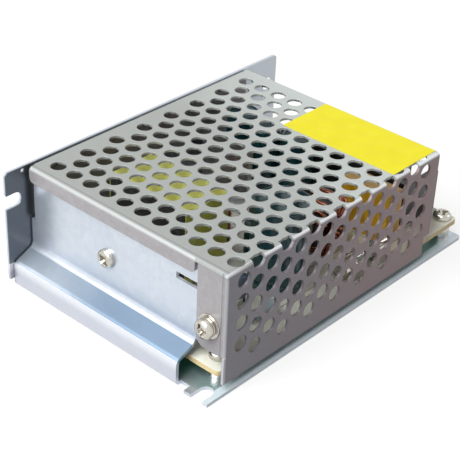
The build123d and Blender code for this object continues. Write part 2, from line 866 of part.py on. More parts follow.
sleeve_x = core_depth + 2 * fit_gap
sleeve_y = centre_leg + 2 * fit_gap
flange_x = core_depth + 2 * bobbin_reach
flange_y = centre_leg + 2 * window_width - 2 * sheet_gap
with BuildPart() as transformer_bobbin:
    with BuildSketch(Plane((core_x, core_y, window_low + fit_gap))):
        Rectangle(sleeve_x + 2 * bobbin_wall, sleeve_y + 2 * bobbin_wall)
    extrude(amount=window_high - window_low - 2 * fit_gap)
    for flange_z in (window_low + fit_gap, window_high - fit_gap - bobbin_wall):
        with BuildSketch(Plane((core_x, core_y, flange_z))):
            Rectangle(flange_x, flange_y)
        extrude(amount=bobbin_wall)
    with BuildSketch(Plane((core_x, core_y, window_low))):
        Rectangle(sleeve_x, sleeve_y)
    extrude(amount=window_high - window_low, both=True, mode=Mode.SUBTRACT)
    for side in (-1, 1):
        rail_x = core_x + side * (flange_x - rail_width) / 2
        box_between(
            (rail_x - rail_width / 2, core_y - rail_length / 2, board_top),
            (rail_x + rail_width / 2, core_y + rail_length / 2, window_low + fit_gap + bobbin_wall),
        )
save("transformer_bobbin", transformer_bobbin.part)

winding_low = window_low + fit_gap + bobbin_wall
winding_high = window_high - fit_gap - bobbin_wall
with BuildPart() as transformer_winding:
    with BuildSketch(Plane((core_x, core_y, winding_low))):
        RectangleRounded(core_depth + 2 * winding_reach, flange_y - sheet_gap, winding_corner)
        Rectangle(sleeve_x + 2 * bobbin_wall, sleeve_y + 2 * bobbin_wall, mode=Mode.SUBTRACT)
    extrude(amount=winding_high - winding_low)
save("transformer_winding", transformer_winding.part)

with BuildPart() as transformer_tape:
    with BuildSketch(Plane((core_x - tape_width / 2, core_y, core_middle), (0, 1, 0), (1, 0, 0))):
        Rectangle(core_length + 2 * tape_thickness, core_height + 2 * tape_thickness)
        Rectangle(core_length, core_height, mode=Mode.SUBTRACT)
    extrude(amount=tape_width)
save("transformer_tape", transformer_tape.part)

# Electrolytic capacitors
save("bulk_capacitor", can_capacitor(bulk_place, bulk_radius, bulk_height, groove_depth))
with BuildPart() as output_capacitors:
    for place in output_places:
        add(can_capacitor(place, output_radius, output_height))
save("output_capacitors", output_capacitors.part)
save("auxiliary_capacitor", can_capacitor(auxiliary_place, auxiliary_radius, auxiliary_height))

# Line choke on edge and output choke lying flat, each a ring core in its windings
choke_centre = (*choke_place, board_top + choke_outer + wire_build)
choke_core, choke_winding = wound_ring(
    Plane(choke_centre, x_dir=(1, 0, 0), z_dir=(0, 1, 0)), (choke_outer, choke_inner, choke_width), 2
)
save("line_choke_core", choke_core)
save("line_choke_winding", choke_winding)

output_centre = (*output_choke_place, board_top + output_choke_width / 2 + wire_build)
output_core, output_winding = wound_ring(
    Plane(output_centre), (output_choke_outer, output_choke_inner, output_choke_width), 1
)
save("output_choke_core", output_core)
save("output_choke_winding", output_winding)

# Line filter capacitor, fuse in its clips, thermistor and bridge rectifier
with BuildPart() as filter_capacitor:
    box_between(
        (*filter_corner, board_top),
        (filter_corner[0] + filter_width, filter_corner[1] + filter_length, board_top + filter_height),
    )
save("filter_capacitor", filter_capacitor.part)

fuse_z = board_top + fuse_axis_height
with BuildPart() as fuse:
    rod((fuse_place[0] - fuse_length / 2, fuse_place[1], fuse_z), (1, 0, 0), fuse_radius, fuse_length)
    for side in (-1, 1):
        cap_x = fuse_place[0] + side * fuse_length / 2
        rod((cap_x, fuse_place[1], fuse_z), (-side, 0, 0), fuse_cap_radius, fuse_cap_length)
save("fuse", fuse.part)

with BuildPart() as fuse_clips:
    for side in (-1, 1):
        clip_x = fuse_place[0] + side * (fuse_length - fuse_cap_length) / 2 - clip_width / 2
        with BuildSketch(Plane((clip_x, fuse_place[1], board_top), (0, 1, 0), (1, 0, 0))):
            with Locations((0, fuse_axis_height)):
                RegularPolygon(fuse_cap_radius + clip_thickness, round_sides)
            with Locations((0, fuse_axis_height / 2)):
                Rectangle(fuse_cap_radius, fuse_axis_height)
            with Locations((0, fuse_axis_height)):
                RegularPolygon(
                    fuse_cap_radius + fit_gap, round_sides, major_radius=False, mode=Mode.SUBTRACT
                )
            with Locations((0, fuse_axis_height + 2 * fuse_cap_radius)):
                Rectangle(3 * fuse_cap_radius, 3 * fuse_cap_radius, mode=Mode.SUBTRACT)
        extrude(amount=clip_width)
save("fuse_clips", fuse_clips.part)

save("thermistor", disc_component(thermistor_place, thermistor_radius, thermistor_thickness))

bridge_x, bridge_y = bridge_place
bridge_low = board_top + bridge_stand
with BuildPart() as bridge_rectifier:
    box_between(
        (bridge_x - bridge_width / 2, bridge_y - bridge_thickness / 2, bridge_low),
        (bridge_x + bridge_width / 2, bridge_y + bridge_thickness / 2, bridge_low + bridge_height),
    )
    upper_edges = bridge_rectifier.edges().filter_by(Axis.Y).group_by(Axis.Z)[-1]
    chamfer(upper_edges.sort_by(Axis.X)[0], bridge_chamfer)
    for lead in range(4):
        lead_x = bridge_x + (lead - 1.5) * bridge_width / 4
        box_between(
            (lead_x - lead_width / 2, bridge_y - lead_width / 2, board_top),
            (lead_x + lead_width / 2, bridge_y + lead_width / 2, bridge_low),
        )
save("bridge_rectifier", bridge_rectifier.part)

# Output rectifier screwed to an angle of sheet aluminium
with BuildPart() as output_heatsink:
    box_between(
        (sink_x, sink_y[0], board_top),
        (sink_x + sink_thickness, sink_y[1], board_top + sink_height),
    )
    box_between(
        (sink_x - sink_foot, sink_y[0], board_top),
        (sink_x + sink_thickness, sink_y[1], board_top + sink_thickness),
    )
    rod((sink_x - 1, rectifier_y, rectifier_z), (1, 0, 0), thread_radius, 4, mode=Mode.SUBTRACT)
save("output_heatsink", output_heatsink.part)

rectifier_seat = sink_x + sink_thickness
save("output_rectifier", to220((rectifier_seat, rectifier_y, rectifier_z), 1))
rectifier_plane = Plane((rectifier_seat + package_tab, rectifier_y, rectifier_z), (0, 1, 0), (1, 0, 0))
save("rectifier_screw", pan_screw(rectifier_plane, rectifier_screw_length))

# Control chip, feedback coupler and the remaining small parts
save("control_chip", dual_in_line(chip_place, chip_length, chip_leads))
save("feedback_coupler", dual_in_line(coupler_place, coupler_length, coupler_leads))

with BuildPart() as snubber_capacitor:
    box_between(
        (*snubber_corner, board_top),
        (snubber_corner[0] + snubber_width, snubber_corner[1] + snubber_length, board_top + snubber_height),
    )
save("snubber_capacitor", snubber_capacitor.part)

with BuildPart() as safety_capacitors:
    for place in safety_places:
        add(disc_component(place, safety_radius, safety_thickness))
save("safety_capacitors", safety_capacitors.part)

with BuildPart() as resistors:
    for place in resistor_places:
        add(axial_resistor(place))
save("resistors", resistors.part)
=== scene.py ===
import math

import bpy
from mathutils import Matrix, Vector


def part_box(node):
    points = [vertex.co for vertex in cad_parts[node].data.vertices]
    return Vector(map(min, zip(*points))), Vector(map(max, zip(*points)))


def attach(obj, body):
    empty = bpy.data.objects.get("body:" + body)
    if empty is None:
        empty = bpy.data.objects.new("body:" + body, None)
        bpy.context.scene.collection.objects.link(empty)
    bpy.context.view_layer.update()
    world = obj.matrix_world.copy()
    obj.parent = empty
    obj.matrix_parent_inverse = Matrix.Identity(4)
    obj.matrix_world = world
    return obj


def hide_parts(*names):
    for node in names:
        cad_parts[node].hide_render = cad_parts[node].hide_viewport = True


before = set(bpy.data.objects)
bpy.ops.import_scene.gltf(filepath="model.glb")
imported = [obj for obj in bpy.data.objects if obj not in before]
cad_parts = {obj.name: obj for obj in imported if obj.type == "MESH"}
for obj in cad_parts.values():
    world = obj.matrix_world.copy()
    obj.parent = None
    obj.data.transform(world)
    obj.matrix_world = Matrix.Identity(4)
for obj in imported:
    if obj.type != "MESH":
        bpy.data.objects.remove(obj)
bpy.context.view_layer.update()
print("frame loaded:", len(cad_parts), "nodes")

mm = 0.001  # lengths are in millimetres, but those of the floor and the lamps in metres
mergeWithin = 0.002 * mm


def clearSelection():
    if bpy.context.mode != "OBJECT":
        bpy.ops.object.mode_set(mode="OBJECT")
    bpy.ops.object.select_all(action="DESELECT")


def grab(piece):
    clearSelection()
    piece.select_set(True)
    bpy.context.view_layer.objects.active = piece


def editAll(piece):
    grab(piece)
    bpy.ops.object.mode_set(mode="EDIT")
    bpy.ops.mesh.select_all(action="SELECT")


def closeUp():
    # in edit mode: points that meet become one, and all faces point outwards
    bpy.ops.mesh.select_all(action="SELECT")
    bpy.ops.mesh.remove_doubles(threshold=mergeWithin)
    bpy.ops.mesh.normals_make_consistent(inside=False)
    bpy.ops.object.mode_set(mode="OBJECT")


def named(piece, name):
    piece.name = name
    piece.data.name = name
    return piece


def chain(name, points):
    # a line of vertices, extruded one after the other from a plane merged to its centre
    clearSelection()
    bpy.ops.mesh.primitive_plane_add(size=mm)
    line = named(bpy.context.object, name)
    bpy.ops.object.mode_set(mode="EDIT")
    bpy.ops.mesh.merge(type="CENTER")
    bpy.ops.transform.translate(value=Vector(points[0]) * mm)
    for here, there in zip(points, points[1:]):
        step = (Vector(there) - Vector(here)) * mm
        bpy.ops.mesh.extrude_region_move(TRANSFORM_OT_translate={"value": step})
    return line


def turned(name, profile, sides):
    # (radius, height) steps spun about Z
    line = chain(name, [(radius, 0, height) for radius, height in profile])
    bpy.ops.mesh.select_all(action="SELECT")
    bpy.ops.mesh.spin(steps=sides, angle=math.tau, center=(0, 0, 0), axis=(0, 0, 1))
    closeUp()
    return line


def wire(name, points, thickness, bend, closed=False):
    # a round wire through points, with rounded bends
    line = chain(name, points)
    bpy.ops.mesh.select_all(action="SELECT")
    if closed:
        bpy.ops.mesh.remove_doubles(threshold=mergeWithin)
    bpy.ops.mesh.bevel(offset=bend * mm, segments=3, affect="VERTICES")
    bpy.ops.object.mode_set(mode="OBJECT")
    bpy.ops.object.convert(target="CURVE")
    line = bpy.context.object
    line.data.bevel_depth = thickness / 2 * mm
    line.data.bevel_resolution = 2
    line.data.use_fill_caps = not closed
    bpy.ops.object.convert(target="MESH")
    line = named(bpy.context.object, name)
    editAll(line)
    closeUp()
    return line


def block(name, low, high):
    # a box between two corners
    clearSelection()
    size = Vector(high) - Vector(low)
    middle = (Vector(high) + Vector(low)) / 2
    bpy.ops.mesh.primitive_cube_add(size=1, location=middle * mm, scale=size * mm)
    bpy.ops.object.transform_apply(location=True, rotation=True, scale=True)
    return named(bpy.context.object, name)


def put(piece, spot=(0, 0, 0), turn=0.0, axis="Z"):
    # turns a piece about an axis through the origin and moves it, all in its mesh
    move = Matrix.Translation(Vector(spot) * mm)
    piece.data.transform(move @ Matrix.Rotation(math.radians(turn), 4, axis))
    piece.data.update()
    return piece


def twin(piece, name, spot=(0, 0, 0), turn=0.0, axis="Z"):
    other = bpy.data.objects.new(name, piece.data.copy())
    bpy.context.scene.collection.objects.link(other)
    return put(named(other, name), spot, turn, axis)


def copies(model, places):
    # a copy for each name, place and turn, after which the model goes
    made = [twin(model, *place) for place in places]
    bpy.data.objects.remove(model)
    return made


def gather(name, pieces):
    clearSelection()
    for piece in pieces:
        piece.select_set(True)
    bpy.context.view_layer.objects.active = pieces[0]
    bpy.ops.object.join()
    return named(bpy.context.object, name)


def modify(piece, kind, **settings):
    grab(piece)
    step = piece.modifiers.new(kind.lower(), kind)
    for setting, value in settings.items():
        setattr(step, setting, value)
    bpy.ops.object.modifier_apply(modifier=step.name)
    return piece


def ease(piece, width, angle):
    # bevels the edges that are sharper than an angle in degrees
    settings = {"width": width * mm, "segments": 2, "limit_method": "ANGLE"}
    return modify(piece, "BEVEL", angle_limit=math.radians(angle), **settings)


def carve(piece, cutter):
    modify(piece, "BOOLEAN", object=cutter, operation="DIFFERENCE", solver="EXACT")
    bpy.data.objects.remove(cutter)
    return piece


def smooth(piece, angle=35, weighted=True):
    grab(piece)
    bpy.ops.object.shade_smooth_by_angle(angle=math.radians(angle))
    if weighted:
        modify(piece, "WEIGHTED_NORMAL", keep_sharp=True, weight=80)
    return piece


def castOff(node, name, width=0.0, flatten=True):
    # a copy of a CAD node: loose triangles merged, flat faces joined, edges eased
    piece = bpy.data.objects.new(name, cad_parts[node].data.copy())
    bpy.context.scene.collection.objects.link(piece)
    named(piece, name)
    piece.data.materials.clear()
    editAll(piece)
    bpy.ops.mesh.customdata_custom_splitnormals_clear()
    bpy.ops.mesh.remove_doubles(threshold=mergeWithin)
    if flatten:
        bpy.ops.mesh.dissolve_limited(angle_limit=math.radians(1))
    bpy.ops.object.mode_set(mode="OBJECT")
    if width:
        ease(piece, width, 30)
    return smooth(piece)


def span(node):
    # lowest corner, middle and highest corner of a CAD node
    low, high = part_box(node)
    low, high = Vector(low) / mm, Vector(high) / mm
    return low, (low + high) / 2, high


def paint(piece, finishes):
    piece.data.materials.clear()
    for finish in finishes:
        piece.data.materials.append(finish.material)
    return piece


def dress(piece, body, slot, finish, *nodes):
    # gives a piece its material and its body, and hides the nodes that it stands for; the slot is
    # not used
    paint(piece, finish if isinstance(finish, list) else [finish])
    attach(piece, body)
    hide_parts(*nodes)
    return piece


def pick(piece, index, test):
    # faces whose centre passes the test take the material of that index
    for face in piece.data.polygons:
        if test(*(face.center / mm)):
            face.material_index = index
    return piece


def tone(red, green, blue):
    parts = [part / 255 for part in (red, green, blue)]
    linear = [part / 12.92 if part < 0.04045 else ((part + 0.055) / 1.055) ** 2.4 for part in parts]
    return linear + [1.0]


class Link:
    # an output socket; sums and comparisons on it add Math nodes
    def __init__(self, nodes, socket):
        self.nodes = nodes
        self.socket = socket

    def sums(self, operation, first, second=0.0):
        return self.nodes.node("ShaderNodeMath", {"operation": operation}, {0: first, 1: second})

    def __add__(self, other):
        return self.sums("ADD", self, other)

    def __radd__(self, other):
        return self.sums("ADD", other, self)

    def __sub__(self, other):
        return self.sums("SUBTRACT", self, other)

    def __rsub__(self, other):
        return self.sums("SUBTRACT", other, self)

    def __mul__(self, other):
        return self.sums("MULTIPLY", self, other)

    def __rmul__(self, other):
        return self.sums("MULTIPLY", other, self)

    def __lt__(self, other):
        return self.sums("LESS_THAN", self, other)

    def __gt__(self, other):
        return self.sums("GREATER_THAN", self, other)

    def most(self, other):
        return self.sums("MAXIMUM", self, other)

    def distance(self, other):
        return self.sums("ABSOLUTE", self - other)


class Nodes:
    # makes and joins the nodes of one material or of the world
    def __init__(self, tree):
        self.tree = tree

    def join(self, value, socket):
        if isinstance(value, Link):
            self.tree.links.new(value.socket, socket)
        else:
            socket.default_value = value

    def node(self, kind, settings=None, values=None, out=0):
        made = self.tree.nodes.new(kind)
        for setting, value in (settings or {}).items():
            setattr(made, setting, value)
        for socket, value in (values or {}).items():
            self.join(value, made.inputs[socket])
        return Link(self, made.outputs[out])


class Finish(Nodes):
    # one material; values that are the same all over sit on the shader's own sockets
    def __init__(self, name, **plain):
        self.material = bpy.data.materials.new(name)
        self.material.use_nodes = True
        super().__init__(self.material.node_tree)
        self.shader = next(node for node in self.tree.nodes if node.type == "BSDF_PRINCIPLED")
        self.feed(**plain)

    def feed(self, **values):
        for socket, value in values.items():
            self.join(value, self.shader.inputs[socket.replace("_", " ")])

    def spot(self):
        return self.node("ShaderNodeTexCoord", out="Object")

    def along(self, axis):
        # one object coordinate in millimetres
        return self.node("ShaderNodeSeparateXYZ", {}, {0: self.spot()}, axis) * 1000

    def stretched(self, stretch, turn=(0, 0, 0)):
        values = {"Vector": self.spot(), "Scale": stretch, "Rotation": turn}
        return self.node("ShaderNodeMapping", {}, values)

    def noise(self, grain, detail=3.0, roughness=0.55, stretch=(1, 1, 1), turn=(0, 0, 0)):
        # grain is the size of its patches
        values = {
            "Vector": self.stretched(stretch, turn), "Scale": 1 / (grain * mm),
            "Detail": detail, "Roughness": roughness,
        }
        return self.node("ShaderNodeTexNoise", {}, values)

    def cells(self, grain):
        values = {"Vector": self.stretched((1, 1, 1)), "Scale": 1 / (grain * mm)}
        colour = self.node("ShaderNodeTexVoronoi", {"feature": "F1"}, values, "Color")
        return self.node("ShaderNodeRGBToBW", {}, {0: colour})

    def blend(self, factor, first, second):
        # the sockets of a colour Mix: 0 is its factor, 6 and 7 its colours, 2 its result
        values = {0: factor, 6: first, 7: second}
        return self.node("ShaderNodeMix", {"data_type": "RGBA"}, values, 2)

    def between(self, value, low, high, first=0.0, second=1.0):
        values = {0: value, 1: low, 2: high, 3: first, 4: second}
        return self.node("ShaderNodeMapRange", {"interpolation_type": "SMOOTHSTEP"}, values)

    def dents(self, height, depth, strength):
        values = {"Height": height, "Strength": strength, "Distance": depth * mm}
        return self.node("ShaderNodeBump", {}, values)


plateValues = {
    "lineStretch": (0.06, 1, 1), "scratchGrain": 0.35, "scratchStretch": (0.03, 1, 1),
    "scratchTurn": (0, 0, 0.5), "scratches": (0.64, 0.72), "scratchRough": 0.03,
    "cloudRough": 0.1, "dents": 0.35,
}


def plateMetal(name, values, lightAndTone=None):
    # plated or bare sheet: clouds in its colour, rolling lines along X and fine scratches
    gloss = values.get("gloss", 0.5)
    finish = Finish(name, Metallic=values["metallic"], Specular_IOR_Level=gloss)
    clouds = finish.noise(values["cloud"], 4.0)
    lines = finish.noise(values["line"], 2.0, 0.6, plateValues["lineStretch"])
    spangle = finish.cells(values["spangle"])
    shade = finish.between(clouds * 0.5 + lines * 0.25 + spangle * 0.25, 0.3, 0.7)
    colour = finish.blend(shade, values["dark"], values["light"])
    # the piece's own painted light and tone go over the clouds
    if lightAndTone:
        colour = lightAndTone(finish, colour)
    stretch, turn = plateValues["scratchStretch"], plateValues["scratchTurn"]
    scratches = finish.noise(plateValues["scratchGrain"], 2.0, 0.5, stretch, turn)
    marks = finish.between(scratches, *plateValues["scratches"]) * plateValues["scratchRough"]
    rough = values["rough"] + (clouds - 0.5) * plateValues["cloudRough"] + marks
    finish.feed(Base_Color=colour, Roughness=rough)
    bumps = lines * 0.6 + spangle * 0.25
    finish.feed(Normal=finish.dents(bumps, values["depth"], plateValues["dents"]))
    return finish


mouldedValues = {
    "gloss": 0.5, "mottle": 3.0, "grain": 0.12, "depth": 0.02, "coatRough": 0.12,
    "unevenRough": 0.2,
}


def moulded(name, values):
    # moulded plastic or coating: faint mottling and a fine grain
    values = {**mouldedValues, **values}
    finish = Finish(name, Specular_IOR_Level=values["gloss"])
    if "coat" in values:
        finish.feed(Coat_Weight=values["coat"], Coat_Roughness=values["coatRough"])
    mottle = finish.noise(values["mottle"], 4.0)
    grain = finish.noise(values["grain"], 2.0)
    shade = finish.between(mottle * 0.7 + grain * 0.3, 0.35, 0.65)
    finish.feed(Base_Color=finish.blend(shade, values["dark"], values["light"]))
    finish.feed(Roughness=values["rough"] + (mottle - 0.5) * values["unevenRough"])
    finish.feed(Normal=finish.dents(grain + mottle * 0.4, values["depth"], 0.4))
    return finish


chassisValues = {
    "metallic": 0.75, "dark": tone(198, 205, 217), "light": tone(209, 214, 224),
    "rough": 0.3, "cloud": 16.0, "line": 0.9, "spangle": 2.0, "depth": 0.0012,
}
chassisLightAndTone = {
    "patches": 9.0, "uneven": 8,
    "wallFace": (36.4, 37.25), "wallRun": (-56, 48),
    "wallShadeDark": tone(104, 109, 116), "wallShadeLight": tone(186, 192, 200),
    "ledgeHeight": (7.0, 11.4), "ledgeRight": -49.6, "ledgeBack": 36.2,
    "ledgeRun": (2, 34, 0.8, 0.3), "ledgeReflection": tone(92, 120, 150),
    "footRight": -54.5, "footTop": 7.6, "footShare": 0.7, "footColour": tone(196, 196, 208),
    "bendHeight": (4.6, 7.0), "bendShare": 0.4, "footBendHighlight": tone(250, 250, 253),
    "bendMetallic": 0.16,
    "rimTop": 2.4, "rimBack": -35.4, "rimColour": tone(206, 213, 224), "rimMetallic": 0.6,
}


# painted shade, a painted reflection and a painted highlight on the chassis, over some plain tone
def paintChassisLightAndTone(finish, colour):
    values = chassisLightAndTone
    along, depth, height = finish.along("X"), finish.along("Y"), finish.along("Z")
    uneven = finish.noise(values["patches"]) * values["uneven"]
    # painted shade: the back wall's inside is darkened, most of all at its slotted end
    front, back = values["wallFace"]
    inside = (depth > front) * (depth < back)
    run = finish.between(along + uneven, *values["wallRun"])
    wallShade = finish.blend(run, values["wallShadeDark"], values["wallShadeLight"])
    colour = finish.blend(inside, colour, wallShade)
    # painted reflection: the ledge turns blue to the front
    bottom, top = values["ledgeHeight"]
    ledge = (height > bottom) * (height < top)
    ledge = ledge * (along < values["ledgeRight"]) * (depth < values["ledgeBack"])
    run = finish.between(depth + uneven, *values["ledgeRun"])
    colour = finish.blend(ledge * run, colour, values["ledgeReflection"])
    # the foot under it is warmer, and its bend is lightened as a painted highlight
    foot = (along < values["footRight"]) * (height < values["footTop"])
    colour = finish.blend(foot * values["footShare"], colour, values["footColour"])
    bend = foot * finish.between(height + uneven * 0.1, *values["bendHeight"])
    colour = finish.blend(bend * values["bendShare"], colour, values["footBendHighlight"])
    # the floor's near rim is greyer and less of a mirror
    rim = (height < values["rimTop"]) * (depth < values["rimBack"])
    less = rim * values["rimMetallic"] + bend * values["bendMetallic"]
    finish.feed(Metallic=chassisValues["metallic"] - less)
    return finish.blend(rim, colour, values["rimColour"])


coverValues = {
    "metallic": 0.16, "dark": tone(158, 153, 157), "light": tone(169, 164, 168),
    "rough": 0.34, "gloss": 0.3, "cloud": 20.0, "line": 0.8, "spangle": 1.6, "depth": 0.003,
}
coverPaintedLight = {
    "sideShare": 0.85, "sideDepth": (0.2, 1.2), "sideRun": (-50, 45),
    "sideShadeLeft": tone(125, 122, 130), "sideShadeRight": tone(142, 114, 116),
    "topShare": 0.8, "topDepth": (1.2, 0.3), "topPaintedTint": tone(152, 155, 153),
    "paleRun": (0, 66), "paleLean": 0.35, "palePatches": 24.0, "paleUneven": 30,
    "topPaintedLight": tone(189, 193, 192),
    "bendHighlight": tone(222, 222, 228), "crease": tone(84, 82, 88), "creaseFrom": 1.45,
    "bendRun": (0.22, 0.85), "creaseRun": (0.08, 0.3), "creaseReach": 0.25,
    "leftBend": (0.35, 0.4), "nearBend": (0.7, 0.1), "cornerBend": (0.5, 0.45),
}


# painted shade, painted light and painted highlights on the cover
def paintCoverLight(finish, colour):
    values = coverPaintedLight
    low, middle, high = span("cover")
    along, depth, height = finish.along("X"), finish.along("Y"), finish.along("Z")
    # painted shade: the near side is darkened, and browner to the right
    start, end = [low.y + part for part in values["sideDepth"]]
    side = finish.between(depth, start, end, values["sideShare"], 0.0)
    run = finish.between(along, *values["sideRun"])
    colour = finish.blend(side, colour, finish.blend(run, values["sideShadeLeft"], values["sideShadeRight"]))
    # painted light: the top is tinted a little greener, and painted paler to the right
    top = finish.between(height, *[high.z - part for part in values["topDepth"]])
    colour = finish.blend(top * values["topShare"], colour, values["topPaintedTint"])
    uneven = finish.noise(values["palePatches"]) * values["paleUneven"]
    run = finish.between(along - depth * values["paleLean"] + uneven, *values["paleRun"])
    colour = finish.blend(top * run, colour, values["topPaintedLight"])
    # painted highlights along the bends, with a painted shade line in the crease where each begins
    fromLeft, fromNear, fromTop = along - low.x, depth - low.y, high.z - height
    bends = [
        (fromLeft, fromTop, "leftBend"), (fromNear, fromTop, "nearBend"),
        (fromNear, fromLeft, "cornerBend"),
    ]
    for first, second, place in bends:
        bendHighlight, crease = values[place]
        reach = first * first + second * second
        bend = finish.between(reach, *values["bendRun"], bendHighlight, 0.0)
        colour = finish.blend(bend, colour, values["bendHighlight"])
        away = first.distance(values["creaseFrom"])
        line = finish.between(away, *values["creaseRun"], crease, 0.0)
        line = line * (second < values["creaseReach"])
        colour = finish.blend(line, colour, values["crease"])
    return colour


chassisSteel = plateMetal("folded steel", chassisValues, paintChassisLightAndTone)
coverSteel = plateMetal("cover steel", coverValues, paintCoverLight)
nickel = plateMetal("nickel", {
    "metallic": 0.9, "dark": tone(186, 181, 172), "light": tone(206, 202, 194),
    "rough": 0.22, "cloud": 3.0, "line": 0.6, "spangle": 0.8, "depth": 0.002,
})
tinned = plateMetal("tinned", {
    "metallic": 1.0, "dark": tone(186, 188, 190), "light": tone(222, 223, 224),
    "rough": 0.3, "cloud": 1.2, "line": 0.3, "spangle": 0.5, "depth": 0.012,
})
aluminium = plateMetal("aluminium", {
    "metallic": 0.95, "dark": tone(186, 189, 192), "light": tone(216, 218, 220),
    "rough": 0.34, "cloud": 3.0, "line": 0.35, "spangle": 0.8, "depth": 0.012,
})
canTop = plateMetal("can top", {
    "metallic": 0.45, "dark": tone(206, 208, 210), "light": tone(232, 233, 234),
    "rough": 0.36, "cloud": 3.0, "line": 0.35, "spangle": 0.8, "depth": 0.01,
})
blackPlastic = moulded("package black", {
    "dark": tone(24, 24, 26), "light": tone(40, 40, 43), "rough": 0.5, "grain": 0.1,
})
blockPlastic = moulded("block black", {
    "dark": tone(26, 27, 30), "light": tone(42, 44, 48), "rough": 0.4, "grain": 0.16,
})
bobbinPlastic = moulded("bobbin black", {
    "dark": tone(30, 29, 28), "light": tone(48, 46, 43), "rough": 0.45, "grain": 0.2,
})
ferrite = moulded("ferrite", {
    "dark": tone(44, 43, 44), "light": tone(72, 71, 72), "rough": 0.6, "grain": 0.14,
    "mottle": 1.2, "depth": 0.05,
})
trimmerBlue = moulded("trimmer blue", {
    "dark": tone(26, 74, 150), "light": tone(40, 96, 176), "rough": 0.38,
})
rotorWhite = moulded("rotor white", {
    "dark": tone(214, 212, 204), "light": tone(236, 234, 228), "rough": 0.42,
})
discBlue = moulded("disc blue", {
    "dark": tone(62, 82, 104), "light": tone(82, 104, 126), "rough": 0.34, "coat": 0.4,
})
discGreen = moulded("disc green", {
    "dark": tone(36, 74, 52), "light": tone(54, 98, 70), "rough": 0.36, "coat": 0.3,
    "mottle": 1.0,
})
filmOrange = moulded("film orange", {
    "dark": tone(206, 150, 26), "light": tone(232, 180, 48), "rough": 0.36, "coat": 0.2,
    "mottle": 5.0,
})
filmRed = moulded("film red", {
    "dark": tone(150, 40, 30), "light": tone(176, 54, 38), "rough": 0.34, "coat": 0.3,
    "mottle": 2.0,
})
padFilm = moulded("pad film", {
    "dark": tone(150, 156, 158), "light": tone(172, 178, 180), "rough": 0.7, "mottle": 1.0,
})
sleeveTeal = moulded("can sleeve", {
    "dark": tone(14, 52, 58), "light": tone(22, 68, 74), "rough": 0.28, "coat": 0.4,
    "mottle": 6.0,
})
stripeGrey = moulded("sleeve stripe", {
    "dark": tone(150, 158, 156), "light": tone(176, 182, 180), "rough": 0.3, "coat": 0.4,
})
rubber = moulded("seal rubber", {
    "dark": tone(20, 20, 20), "light": tone(34, 34, 34), "rough": 0.75,
})
resistorBlue = moulded("resistor blue", {
    "dark": tone(146, 160, 168), "light": tone(172, 184, 190), "rough": 0.42, "mottle": 1.4,
})
bandBrown = moulded("band brown", {
    "dark": tone(86, 48, 24), "light": tone(110, 64, 34), "rough": 0.4,
})
bandGold = moulded("band gold", {
    "dark": tone(150, 120, 50), "light": tone(182, 148, 70), "rough": 0.35,
})

# enamelled wire: copper seen through a thin lacquer
copperValues = {"dark": tone(124, 64, 42), "light": tone(176, 100, 66), "rough": 0.24}
copperWire = Finish("copper wire", Metallic=0.8, Coat_Weight=0.6, Coat_Roughness=0.1)
lacquer = copperWire.noise(1.2)
copperWire.feed(Base_Color=copperWire.blend(lacquer, copperValues["dark"], copperValues["light"]))
copperWire.feed(Roughness=copperValues["rough"] + (lacquer - 0.5) * 0.2)
copperWire.feed(Normal=copperWire.dents(copperWire.noise(0.3), 0.02, 0.3))

# polyester tape: thin laps over one another, seen as faint lines across its run
tapeValues = {
    "dark": tone(206, 208, 88), "light": tone(226, 226, 128), "lap": tone(188, 182, 66),
    "crease": tone(150, 140, 62), "share": 0.35, "rough": 0.32,
}
tapeYellow = Finish("tape yellow", Coat_Weight=0.4, Coat_Roughness=0.15)
wrinkle = tapeYellow.noise(2.0, 4.0, 0.6, (0.35, 1, 1))
laps = tapeYellow.between(tapeYellow.noise(5.0, 1.0, 0.4, (1, 0.2, 1)), 0.45, 0.55)
folds = tapeYellow.noise(1.6, 3.0, 0.6, (0.5, 1, 1)).distance(0.5)
creases = tapeYellow.between(folds, 0.0, 0.035, 1.0, 0.0)
tapeColour = tapeYellow.blend(wrinkle, tapeValues["dark"], tapeValues["light"])
for marks, colour in ((laps, "lap"), (creases, "crease")):
    tapeColour = tapeYellow.blend(marks * tapeValues["share"], tapeColour, tapeValues[colour])
tapeYellow.feed(Base_Color=tapeColour, Roughness=tapeValues["rough"] + (wrinkle - 0.5) * 0.25)
tapeYellow.feed(Normal=tapeYellow.dents(wrinkle + laps * 0.5 - creases * 0.3, 0.06, 0.4))

# film of the plain label: even yellow, with soft unevenness from the glue
labelColours = {"dark": tone(212, 196, 16), "light": tone(224, 211, 36), "rough": 0.42}
labelFilm = Finish("label film", Coat_Weight=0.05, Coat_Roughness=0.2, Specular_IOR_Level=0.2)
glue = labelFilm.noise(5.0)
fibre = labelFilm.noise(0.2, 2.0)
labelFilm.feed(Base_Color=labelFilm.blend(glue, labelColours["dark"], labelColours["light"]))
labelFilm.feed(Roughness=labelColours["rough"] + (fibre - 0.5) * 0.2)
labelFilm.feed(Normal=labelFilm.dents(glue + fibre * 0.2, 0.05, 0.3))

# board: pale face with thin outlines round its parts, cut edge, green underside with tracks
boardValues = {
    "skin": 0.05, "faceDark": tone(220, 217, 205), "faceLight": tone(236, 233, 223),
    "edgeDark": tone(206, 178, 128), "edgeLight": tone(232, 212, 168),
    "gap": tone(0, 160, 108), "track": tone(30, 200, 146), "rough": 0.5, "lacquerGloss": 0.28,
}
outlineValues = {"reach": 0.6, "line": 0.16, "share": 0.75, "ink": tone(84, 88, 92)}
outlinedParts = [
    "terminal_block", "trimmer_body", "filter_capacitor", "snubber_capacitor",
    "transformer_bobbin", "bulk_capacitor", "auxiliary_capacitor", "line_choke_core",
    "output_choke_core", "bridge_rectifier", "control_chip", "feedback_coupler", "fuse",
    "thermistor",
]


